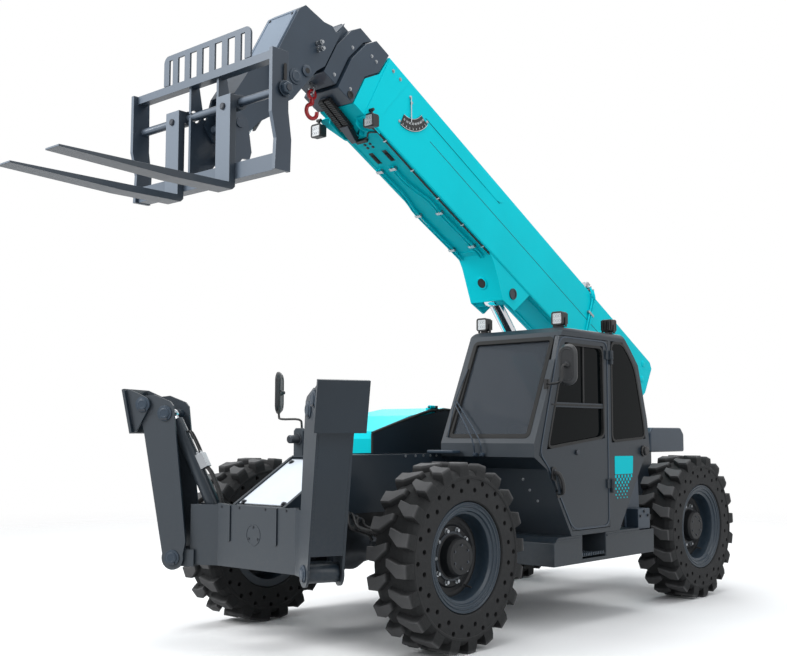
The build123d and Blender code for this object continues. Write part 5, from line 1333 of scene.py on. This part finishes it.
PIN_END = [(0, 0), (0, 0.056), (0.007, 0.056), (0.009, 0.040), (0.015, 0.038), (0.018, 0.026),
    (0.016, 0.024), (0.016, 0)]
for hand, side_name in ((1, "left"), (-1, "right")):
    spot, facing = stabilizer(hand)
    for label, body, places in (
        ("arm", "arm_" + side_name, ((0.244, 1.070, 0.140), (0.080, 1.007, 0.120))),
        ("pivot", "root", ((0.0, 0.0, 0.120),)),
    ):
        ends, keys = bmesh.new(), bmesh.new()
        for reach, height, depth in places:
            for way in (1, -1):
                middle = spot(reach, height, depth * way)
                turned(middle, facing * way, PIN_END, 32, ends)
                keeper = Bench(middle, UP.cross(facing) * way, UP)
                block(keeper, (0.0, -0.040, 0.011), (0.052, 0.012, 0.007), keys)
        soften(piece(label + "_pins_" + side_name, ends, slate_light, body), 0.0015)
        piece(label + "_keepers_" + side_name, keys, dark_steel, body)
    tubes, blocks = bmesh.new(), bmesh.new()

    def on_ram(run, aside, depth=0.0):
        """A place beside the ram's barrel."""
        flat = RAM_FOOT + RAM_RUN * run + RAM_ASIDE * aside
        return spot(flat.x, flat.y, depth)

    ram_bench = Bench(on_ram(0.420, 0.062), facing.cross(on_ram(1, 0) - on_ram(0, 0)),
        on_ram(1, 0) - on_ram(0, 0))
    block(ram_bench, (0, 0, 0), (0.060, 0.110, 0.066), blocks)
    block(ram_bench, (0, 0.062, 0), (0.034, 0.024, 0.040), blocks)
    for depth in (-0.016, 0.016):
        pipe([on_ram(0.470, 0.070, depth), on_ram(0.520, 0.076, depth), on_ram(0.640, 0.070, depth),
            on_ram(0.660, 0.046, depth)], 0.007, tubes, 8, 4)
        pipe([on_ram(0.370, 0.070, depth), on_ram(0.300, 0.086, depth), on_ram(0.120, 0.074, depth),
            on_ram(0.060, 0.046, depth)], 0.009, tubes, 8, 4)
    piece("ram_tubes_" + side_name, tubes, hose_rubber, "ram_" + side_name)
    soften(piece("ram_valve_" + side_name, blocks, bright_steel, "ram_" + side_name), 0.003)
print("stabilizers fitted")

# %% [markdown]
# ## Boom
# The boom has its own directions: `along` runs from its pivot to its head, `across` rises from its
# lower plate. All its benches are laid out in those, so every detail turns with the boom's angle.

# %% Boom benches
BOOM_ANGLE = math.radians(28.8)
ALONG = Vector((0, -math.cos(BOOM_ANGLE), math.sin(BOOM_ANGLE)))
ACROSS = Vector((0, math.sin(BOOM_ANGLE), math.cos(BOOM_ANGLE)))
BOOM_HALF, BOOM_LOW, BOOM_HIGH = 0.180, -0.005, 0.570
BOOM_PIVOT_Y, BOOM_PIVOT_Z = AXLE_MID + 2.050, 1.760


def boom_at(x, along, across):
    """A point from its place on the boom."""
    return Vector((x, BOOM_PIVOT_Y, BOOM_PIVOT_Z)) + ALONG * along + ACROSS * across


def boom_side(hand):
    """Bench on a side of the boom. Its right runs along the boom, backwards on the left side."""
    return Bench(boom_at(hand * BOOM_HALF, 0, 0), ALONG * -hand, ACROSS)


boom_under = Bench(boom_at(0, 0, BOOM_LOW), LEFT, ALONG)
boom_top = Bench(boom_at(0, 0, BOOM_HIGH), -LEFT, ALONG)

# %% [markdown]
# Doubler plates stiffen the front end, with slanted rear edges so that no weld runs straight across the
# boom. The lower and the upper skin end in long lines that run back along each side, and a dark strip
# along each is painted shadow for the shade line there.

# %% Skins and doublers
DOUBLERS = (  # thickness, outline as (along, across)
    (0.0060, ((4.236, 0.560), (3.979, 0.560), (3.985, 0.520), (4.071, 0.191), (4.084, 0.088),
        (4.100, 0.004), (4.236, 0.004))),
    (0.0035, ((4.236, 0.562), (3.675, 0.562), (3.685, 0.448), (3.760, 0.300), (3.873, 0.155),
        (3.903, 0.002), (4.236, 0.002))),
    (0.0030, ((3.900, 0.305), (3.560, 0.305), (0.450, 0.303), (0.250, 0.180), (0.250, 0.060),
        (0.330, 0.004), (3.900, 0.004))),
    (0.0040, ((3.690, 0.440), (3.690, 0.540), (2.640, 0.540), (2.585, 0.520), (2.560, 0.488),
        (2.585, 0.455), (2.640, 0.437))),
)
skins = bmesh.new()
for hand in (1, -1):
    for thick, outline in DOUBLERS:
        plate(boom_side(hand), [(-hand * along, across) for along, across in outline], -0.002, thick, skins)
soften(piece("boom_skins", skins, teal_paint, "boom"), 0.0012, 1)
welds = bmesh.new()
for x in (-0.150, 0.150):
    pipe([boom_at(x, 0.30, BOOM_LOW - 0.001), boom_at(x, 2.0, BOOM_LOW - 0.001),
        boom_at(x, 4.20, BOOM_LOW - 0.001)], 0.004, welds, 6, 1)
    pipe([boom_at(x, 0.10, BOOM_HIGH + 0.001), boom_at(x, 2.0, BOOM_HIGH + 0.001),
        boom_at(x, 4.22, BOOM_HIGH + 0.001)], 0.004, welds, 6, 1)
piece("boom_welds", welds, teal_paint, "boom")
# Painted shadow: thin dark strips stand for the shade lines along the skins' edges.
shadow_strips = bmesh.new()
for hand in (1, -1):
    for start, stop, level in ((3.560, 0.470, 0.3065), (3.688, 2.600, 0.4375)):
        strip = ((start, level), (stop, level), (stop, level + 0.003), (start, level + 0.003))
        plate(boom_side(hand), [(-hand * along, across) for along, across in strip], -0.002, 0.0025, shadow_strips)
piece("skin_shadow_strips", shadow_strips, seal_rubber, "boom")
heads = [(boom_side(hand).at(-hand * along, across, 0.006), LEFT * hand) for hand in (1, -1)
    for along, across in ((4.160, 0.502), (4.069, 0.501))]
studs("boom_bolts", "boom", heads, 0.010, 0.008, bright_steel)
discs = bmesh.new()
for hand in (1, -1):
    for along, across in ((-0.076, 0.483), (-0.123, 0.333)):
        turned(boom_side(hand).at(-hand * along, across), LEFT * hand,
            [(0, 0), (0, 0.034), (0.008, 0.034), (0.010, 0.030), (0.010, 0)], 28, discs)
    turned(boom_side(hand).at(0, 0), LEFT * hand, [(0, 0), (0, 0.052), (0.016, 0.052), (0.020, 0.046),
        (0.020, 0)], 32, discs)
soften(piece("boom_tail_discs", discs, teal_paint, "boom"), 0.002)

# %% [markdown]
# The angle gauge is a black arc with white figures, read by a pointer that hangs from a pivot.

# %% Angle gauge
GAUGE = (3.913, 0.457)
side = boom_side(1)
PLUMB = math.degrees(math.atan2(-math.cos(BOOM_ANGLE), math.sin(BOOM_ANGLE)))


def gauge_spot(angle, radius):
    """Place on the boom's left side at an angle and radius about the pointer's pivot."""
    turn = math.radians(angle)
    return -(GAUGE[0] - radius * math.cos(turn)), GAUGE[1] + radius * math.sin(turn)


FIRST, LAST = PLUMB - 26, PLUMB + 48
swing = [FIRST + (LAST - FIRST) * i / 24 for i in range(25)]


def gauge_arc(outer, inner):
    """Outline of a band of the gauge between two radii."""
    return [gauge_spot(a, outer) for a in swing] + [gauge_spot(a, inner) for a in reversed(swing)]


scale = plate(side, gauge_arc(0.268, 0.168), 0, 0.010)
soften(piece("gauge_scale", scale, black_plastic, "boom"), 0.001, 1)
marks = bmesh.new()
for radius, width in ((0.266, 0.0035), (0.172, 0.0025)):
    plate(side, gauge_arc(radius, radius - width), 0.009, 0.0115, marks)
STEPS = 8
for step in range(STEPS):
    angle = FIRST + 5 + (LAST - FIRST - 10) * step / (STEPS - 1)
    spots = [gauge_spot(angle - 0.4, 0.240), gauge_spot(angle + 0.4, 0.240),
        gauge_spot(angle + 0.4, 0.256), gauge_spot(angle - 0.4, 0.256)]
    plate(side, spots, 0.009, 0.0115, marks)
    curve = bpy.data.curves.new("figure", "FONT")
    curve.body = str(step * 10)
    curve.size, curve.extrude, curve.align_x, curve.align_y = 0.026, 0.0006, "CENTER", "CENTER"
    figure = bpy.data.objects.new("figure", curve)
    shape = bpy.data.meshes.new_from_object(figure)
    turn = Matrix.Rotation(math.radians(angle + 90), 3, "Z")
    middle = Vector(gauge_spot(angle, 0.208) + (0,))
    for vertex in shape.vertices:
        flat = turn @ vertex.co + middle
        vertex.co = side.at(flat.x, flat.y, 0.0108 + vertex.co.z)
    marks.from_mesh(shape)
    bpy.data.objects.remove(figure)
piece("gauge_marks", marks, dial_white, "boom")
pointer = bmesh.new()
tip, top = side.at(*gauge_spot(PLUMB, 0.200), 0.018), side.at(*gauge_spot(PLUMB, -0.010), 0.016)
pipe([top, tip], 0.0045, pointer, 8, 1)
for a, b in (gauge_spot(0, 0), gauge_spot(-42, 0.045), gauge_spot(FIRST - 4, 0.250),
    gauge_spot(LAST + 4, 0.250)):
    turned(side.at(a, b, 0), LEFT, [(0, 0), (0, 0.012), (0.009, 0.012), (0.014, 0.008), (0.014, 0)], 16,
        pointer)
piece("gauge_pointer", pointer, bright_steel, "boom")
print("gauge from", round(FIRST), "to", round(LAST), "degrees")

# %% [markdown]
# Under the boom, oil runs in steel pipes held by clamps, past two inspection windows. At the front a
# chain of links carries the hoses into the moving sections, between two flanges.

# %% Pipes and clamps under the boom
RUNS = (  # (x, along) points of a pair of pipes
    ((-0.128, 3.690), (-0.122, 3.500), (-0.120, 3.372), (-0.141, 3.236), (-0.160, 3.096), (-0.150, 2.618),
        (-0.150, 2.450)),
    ((0.015, 3.690), (0.006, 3.500), (0.030, 3.390), (0.068, 3.240), (0.063, 3.087), (0.074, 2.627),
        (0.074, 2.450)),
)
CLAMPS = ((-0.128, 3.660), (0.015, 3.662), (-0.160, 3.096), (0.063, 3.087), (-0.150, 2.618), (0.074, 2.627))
pipes, clamps = bmesh.new(), bmesh.new()
for run in RUNS:
    for gap in (-0.014, 0.014):
        pipe([boom_under.at(x + gap, along, 0.016) for x, along in run], 0.008, pipes, 8, 4)
for x, along in CLAMPS:
    block(boom_under, (x, along, 0.013), (0.066, 0.026, 0.028), clamps)
piece("boom_pipes", pipes, teal_paint, "boom")
soften(piece("boom_clamps", clamps, bright_steel, "boom"), 0.003)
windows, frames = bmesh.new(), bmesh.new()
for x in (-0.072, 0.068):
    # Painted shade: each inspection window is a dark plate for the boom's shaded inside, with a dark bar for
    # the cylinder seen through it.
    plate(boom_under, rounded(0.046, 0.128, 0.008, (x, 3.795)), -0.001, 0.0015, windows)
    band(boom_under, rounded(0.058, 0.140, 0.012, (x, 3.795)), 0.006, -0.002, 0.004, frames)
    turned(boom_under.at(x, 3.745, 0.003), ALONG, rod(0, 0.080, 0.013), 12, windows)
for x in (-0.120, 0.120):
    plate(boom_under, rounded(0.030, 1.80, 0.004, (x, 1.35)), -0.002, 0.008, frames)
plate(boom_under, rounded(0.290, 0.100, 0.006, (0.010, 2.500)), -0.002, 0.006, frames)
piece("window_wells_shade", windows, seal_rubber, "boom")
soften(piece("under_frames", frames, teal_paint, "boom"), 0.0015, 1)
heads = [(boom_under.at(x, along, 0), -ACROSS) for x in (-0.054, 0.001) for along in (3.950, 3.914)]
studs("under_bolts", "boom", heads, 0.009, 0.008, dark_steel)

# %% Hose carrier, flanges and cable
links, channel = bmesh.new(), bmesh.new()
for lane in (-0.034, 0.034):
    for step in range(17):
        along = 4.470 - step * 0.0185
        x = lane - 0.012 - 0.030 * step / 16
        block(boom_under, (x, along, 0.030), (0.056, 0.0135, 0.034), links)
        block(boom_under, (x, along, 0.030), (0.044, 0.0185, 0.026), links)
plate(boom_under, ((-0.070, 4.215), (0.018, 4.215), (-0.040, 4.040), (-0.092, 4.040)), 0.004, 0.060, channel)
plate(boom_under, ((-0.082, 4.480), (-0.006, 4.480), (-0.010, 4.200), (-0.086, 4.200)), 0.002, 0.014,
    channel)
soften(piece("carrier_links", links, hose_rubber, "boom"), 0.002, 1)
soften(piece("carrier_channel", channel, dark_steel, "boom"), 0.004)
flanges = bmesh.new()
plate(boom_under, ((-0.175, 4.300), (-0.235, 4.292), (-0.240, 4.240), (-0.180, 4.050), (-0.120, 4.020),
    (-0.120, 4.300)), 0.002, 0.014, flanges)
plate(boom_under, ((0.176, 4.230), (0.100, 4.230), (0.100, 4.100), (0.030, 4.060), (0.030, 4.030),
    (0.176, 4.030)), 0.002, 0.014, flanges)
for x, start, stop in ((-0.120, 4.020, 4.300), (0.100, 4.060, 4.230), (0.030, 4.030, 4.120)):
    rib = Bench(boom_under.at(x, 0, 0), ALONG, -ACROSS)
    plate(rib, ((start, 0.002), (stop, 0.002), (stop - 0.02, 0.055), (start + 0.08, 0.055)), -0.004,
        0.004, flanges)
soften(piece("carrier_flanges", flanges, teal_paint, "boom"), 0.003)
cable = pipe([boom_under.at(x, along, out) for x, along, out in (
    (0.165, 4.130, 0.030), (0.168, 4.060, 0.012), (0.160, 3.880, 0.006), (0.156, 3.390, 0.006),
    (0.158, 2.900, 0.006), (0.162, 2.480, 0.006))], 0.0065, None, 8, 6)
pipe([boom_under.at(x, along, 0.020) for x, along in ((0.168, 4.060), (0.100, 4.075), (0.040, 4.030),
    (-0.060, 4.004))], 0.006, cable, 8, 5)
block(boom_under, (-0.030, 4.008, 0.014), (0.110, 0.028, 0.028), cable)
piece("boom_cable", cable, hose_rubber, "boom")
clips = bmesh.new()
for along in (3.95, 3.60, 3.25, 2.90, 2.60):
    block(boom_under, (0.160, along, 0.007), (0.026, 0.012, 0.016), clips)
piece("cable_clips", clips, bright_steel, "boom")

# %% [markdown]
# Two work lamps and a small lifting hook hang at the boom's front. The hook is a bent bar under a
# swivel and a shackle.

# %% Lamps and hook
rims, lenses, cells, cases = (bmesh.new() for _ in range(4))
for spot in (boom_at(0.205, 4.190, -0.030), boom_at(-0.225, 4.290, -0.115)):
    bench = Bench(spot, LEFT, UP)
    lamp_face(bench, rims, lenses, cells)
    block(bench, (0, 0, -0.028), (0.092, 0.092, 0.052), cases)
    for fin in range(5):
        block(bench, ((fin - 2) * 0.018, 0, -0.060), (0.004, 0.078, 0.018), cases)
    block(bench, (0, 0.062, -0.026), (0.012, 0.050, 0.020), cases)
    turned(bench.at(0, 0.086, -0.026), bench.right, rod(-0.022, 0.022, 0.012), 12, cases)
soften(piece("boom_lamp_rims", rims, black_plastic, "boom"), 0.002)
piece("boom_lamp_lenses", lenses, lens_clear, "boom")
piece("boom_lamp_cells", cells, bright_steel, "boom")
soften(piece("boom_lamp_cases", cases, black_plastic, "boom"), 0.004)

eye = boom_at(-0.030, 4.600, -0.030)
hook = bmesh.new()
hoop(eye + UP * -0.040, LEFT, ring(-0.010, 0.010, 0.040, 0.024), 24, hook)
turned(eye + UP * -0.068, -UP, [(0, 0), (0, 0.014), (0.030, 0.020), (0.052, 0.012), (0.052, 0)], 16, hook)
HOOK_R, HOOK_DROP = 0.052, 0.166
bend = []
for degrees in range(-175, 96, 30):
    a = math.radians(degrees)
    bend.append(eye + Vector((0, HOOK_R * math.sin(a), -HOOK_DROP - HOOK_R * math.cos(a))))
pipe([eye + UP * -0.108] + bend, 0.015, hook, 12, 3)
soften(piece("hook", hook, hook_red, "boom_head"), 0.002)
shackle = pipe([eye + Vector((x, 0, z)) for x, z in ((-0.022, 0.010), (-0.022, -0.018), (-0.012, -0.034),
    (0.012, -0.034), (0.022, -0.018), (0.022, 0.010))], 0.006, None, 8, 3)
turned(eye + Vector((-0.032, 0, 0.010)), LEFT, rod(0, 0.064, 0.010), 12, shackle)
block(Bench(eye, LEFT, UP), (0, 0.030, 0), (0.024, 0.060, 0.040), shackle)
piece("hook_shackle", shackle, bright_steel, "boom_head")

# %% Collar bolts, top valve and lift bracket
for node, body, spots in (
    ("boom_middle", "boom_middle", ((4.391, 0.436), (4.335, 0.434), (4.440, 0.060))),
    ("boom_inner", "boom_inner", ((4.560, 0.369), (4.600, 0.060))),
):
    corners = [Vector(v.co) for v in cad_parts[node].data.vertices]
    near = max(corner.x for corner in corners if (corner - boom_at(0, 0, 0)).dot(ALONG) > 4.2)
    heads = [(boom_at(hand * near, along, across), LEFT * hand) for hand in (1, -1)
        for along, across in spots]
    studs(node + "_bolts", body, heads, 0.009, 0.008, bright_steel)
    if node == "boom_middle":
        eyes = bmesh.new()
        for hand in (1, -1):
            hoop(boom_at(hand * near, 4.419, 0.020), LEFT * hand, ring(-0.002, 0.006, 0.030, 0.020), 28,
                eyes)
            turned(boom_at(hand * near, 4.419, 0.020), LEFT * hand, rod(-0.002, 0.001, 0.022), 24, eyes)
        piece("collar_eyes", eyes, seal_rubber, "boom_middle")
valve, tubes = bmesh.new(), bmesh.new()
block(boom_top, (-0.100, 1.060, 0.045), (0.090, 0.120, 0.080), valve)
block(boom_top, (-0.100, 1.060, 0.100), (0.060, 0.050, 0.040), valve)
for k in range(2):
    start = boom_at(0.142, 1.035 + 0.050 * k, BOOM_HIGH + 0.050)
    turned(start, LEFT, [(0, 0), (0, 0.016), (0.026, 0.016), (0.026, 0.011), (0.045, 0.011), (0.045, 0)],
        10, valve)
    outer = BOOM_HALF + 0.014
    pipe([
        start + LEFT * 0.035, boom_at(outer + 0.008, 1.010 + 0.045 * k, BOOM_HIGH - 0.02),
        boom_at(outer, 0.985 + 0.035 * k, 0.500), boom_at(outer, 0.950 + 0.035 * k, 0.250),
        boom_at(outer, 0.915 + 0.035 * k, 0.020),
    ], 0.010, tubes, 10, 5)
block(side, (-0.985, 0.380, 0.012), (0.095, 0.022, 0.026), valve)
block(side, (-0.945, 0.120, 0.012), (0.095, 0.022, 0.026), valve)
soften(piece("top_valve", valve, bright_steel, "boom"), 0.003)
piece("side_tubes", tubes, teal_paint, "boom")
rails = bmesh.new()
for x in (-0.090, 0.060):
    pipe([boom_at(x, 1.120, BOOM_HIGH + 0.030), boom_at(x, 1.250, BOOM_HIGH + 0.020),
        boom_at(x, 3.900, BOOM_HIGH + 0.020)], 0.012, rails, 10, 3)
for along in (1.30, 1.95, 2.60, 3.25, 3.85):
    block(boom_top, (0.015, along, 0.012), (0.200, 0.024, 0.026), rails)
piece("top_pipes", rails, teal_paint, "boom")
WRAP = ((2.505, -0.006), (2.400, -0.065), (2.160, -0.262))
wrap = bmesh.new()
wrap_side = Bench(boom_at(0, 0, 0), -ALONG, ACROSS)
thick = [(-a, b) for a, b in WRAP] + [(-a + 0.010, b + 0.012) for a, b in reversed(WRAP)]
plate(wrap_side, thick, -0.176, 0.176, wrap)
run = boom_at(0, *WRAP[2]) - boom_at(0, *WRAP[1])
wrap_face = Bench(boom_at(0, 2.290, -0.155), LEFT, -run)
soften(piece("lift_wrap", wrap, teal_paint, "boom"), 0.004)
hole = hoop(wrap_face.at(0, 0, 0), wrap_face.out, ring(-0.010, 0.010, 0.052, 0.042), 28)
soften(piece("wrap_hole_rim", hole, teal_paint, "boom"), 0.002)
# Painted shade: a dark disc in the rim stands for the shaded inside of the hole through the lift bracket.
piece("wrap_hole_shade", turned(wrap_face.at(0, 0, -0.004), wrap_face.out, rod(0, 0.010, 0.043), 28),
    seal_rubber, "boom")
plugs = bmesh.new()
for hand in (1, -1):
    middle = boom_at(hand * BOOM_HALF, 2.072, -0.137)
    hoop(middle, LEFT * hand, ring(-0.004, 0.006, 0.048, 0.036), 28, plugs)
    turned(middle, LEFT * hand, rod(-0.004, 0.002, 0.038), 28, plugs)
piece("lift_pin_ends", plugs, dark_steel, "boom")
print("boom fitted")

# %% [markdown]
# ## Boom head and carriage
# A plate closes the head's front. Two quick couplers stand on its left cheek, and each cheek has two
# stepped bosses. The carriage's end posts carry the fork shaft, whose nuts sit under a slotted hole.

# %% Boom head
cheek = 0.170
LOW_BOSS = (4.823, -0.119)
head_face = Bench(boom_at(0, 5.090, 0), LEFT, ACROSS)
cover = plate(head_face, rounded(0.262, 0.400, 0.010, (0, 0.006)), -0.001, 0.005)
band(head_face, rounded(0.292, 0.430, 0.014, (0, 0.006)), 0.014, -0.001, 0.009, cover)
# The head cover takes the paler fork paint, a painted highlight on its lit front.
soften(piece("head_cover", cover, fork_paint_lit_front, "boom_head"), 0.0015)
studs("head_screws", "boom_head", [(head_face.at(x, 0.006 + y, 0.005), ALONG) for x in (-0.118, 0.118)
    for y in (-0.185, 0.185)], 0.008, 0.006, dark_steel)
couplers, bosses = bmesh.new(), bmesh.new()
for along, across in ((4.845, 0.125), (4.814, 0.094)):
    steps = [(0, 0), (0, 0.016), (0.012, 0.016), (0.012, 0.013), (0.030, 0.013), (0.030, 0.017),
        (0.052, 0.017), (0.052, 0.012), (0.066, 0.012), (0.066, 0)]
    turned(boom_at(cheek, along, across), LEFT, steps, 20, couplers)
piece("couplers", couplers, bright_steel, "boom_head")
for hand in (1, -1):
    turned(boom_at(hand * cheek, 4.880, -0.225), LEFT * hand, PIN_END, 32, bosses)
    turned(boom_at(hand * cheek, *LOW_BOSS), LEFT * hand,
        [(0, 0), (0, 0.042), (0.010, 0.042), (0.014, 0.034), (0.014, 0)], 32, bosses)
soften(piece("head_bosses", bosses, slate_light, "boom_head"), 0.0015)
plugs = bmesh.new()
for hand in (1, -1):
    turned(boom_at(hand * cheek, *LOW_BOSS), LEFT * hand, rod(0.013, 0.0155, 0.020), 24, plugs)
piece("head_plugs", plugs, seal_rubber, "boom_head")

# %% Carriage
SHAFT_Y, SHAFT_Z = AXLE_MID - 2.945, 3.550
low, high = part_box("carriage")
slot_shade, nuts, pins = bmesh.new(), bmesh.new(), bmesh.new()
for hand in (1, -1):
    outside = Bench((hand * high.x, SHAFT_Y, SHAFT_Z), (0, hand, 0), UP)
    # Painted shade: a dark plate on each post stands for the shaded inside of its slotted hole.
    plate(outside, rounded(0.022, 0.110, 0.011, (0, 0.105)), -0.002, 0.0012, slot_shade)
    turned(outside.at(0, 0), outside.out, [(0, 0), (0, 0.050), (0.006, 0.050), (0.006, 0.046),
        (0.006, 0)], 28, nuts)
    turned(outside.at(0, 0, 0.005), outside.out, [(0, 0), (0, 0.040), (0.026, 0.040), (0.030, 0.034),
        (0.030, 0)], 6, nuts)
    turned(outside.at(0, 0, 0.030), outside.out, rod(0, 0.010, 0.020), 20, pins)
piece("post_slot_shade", slot_shade, seal_rubber, "carriage")
soften(piece("shaft_nuts", nuts, slate_light, "carriage"), 0.002)
piece("shaft_ends", pins, dark_steel, "carriage")
for side_name in SIDES:
    fork = "fork_" + side_name
    low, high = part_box(fork)
    heel = min(v.co.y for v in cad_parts[fork].data.vertices if v.co.z > high.z - 0.12)
    stop = Bench(((low.x + high.x) / 2, heel, high.z - 0.080), LEFT, UP)
    pin = turned(stop.at(0, 0, 0), stop.out,
        [(-0.004, 0), (-0.004, 0.022), (0.010, 0.022), (0.014, 0.016), (0.014, 0)], 24)
    piece("fork_pin_" + side_name, pin, dark_steel, fork)
print("carriage fitted")
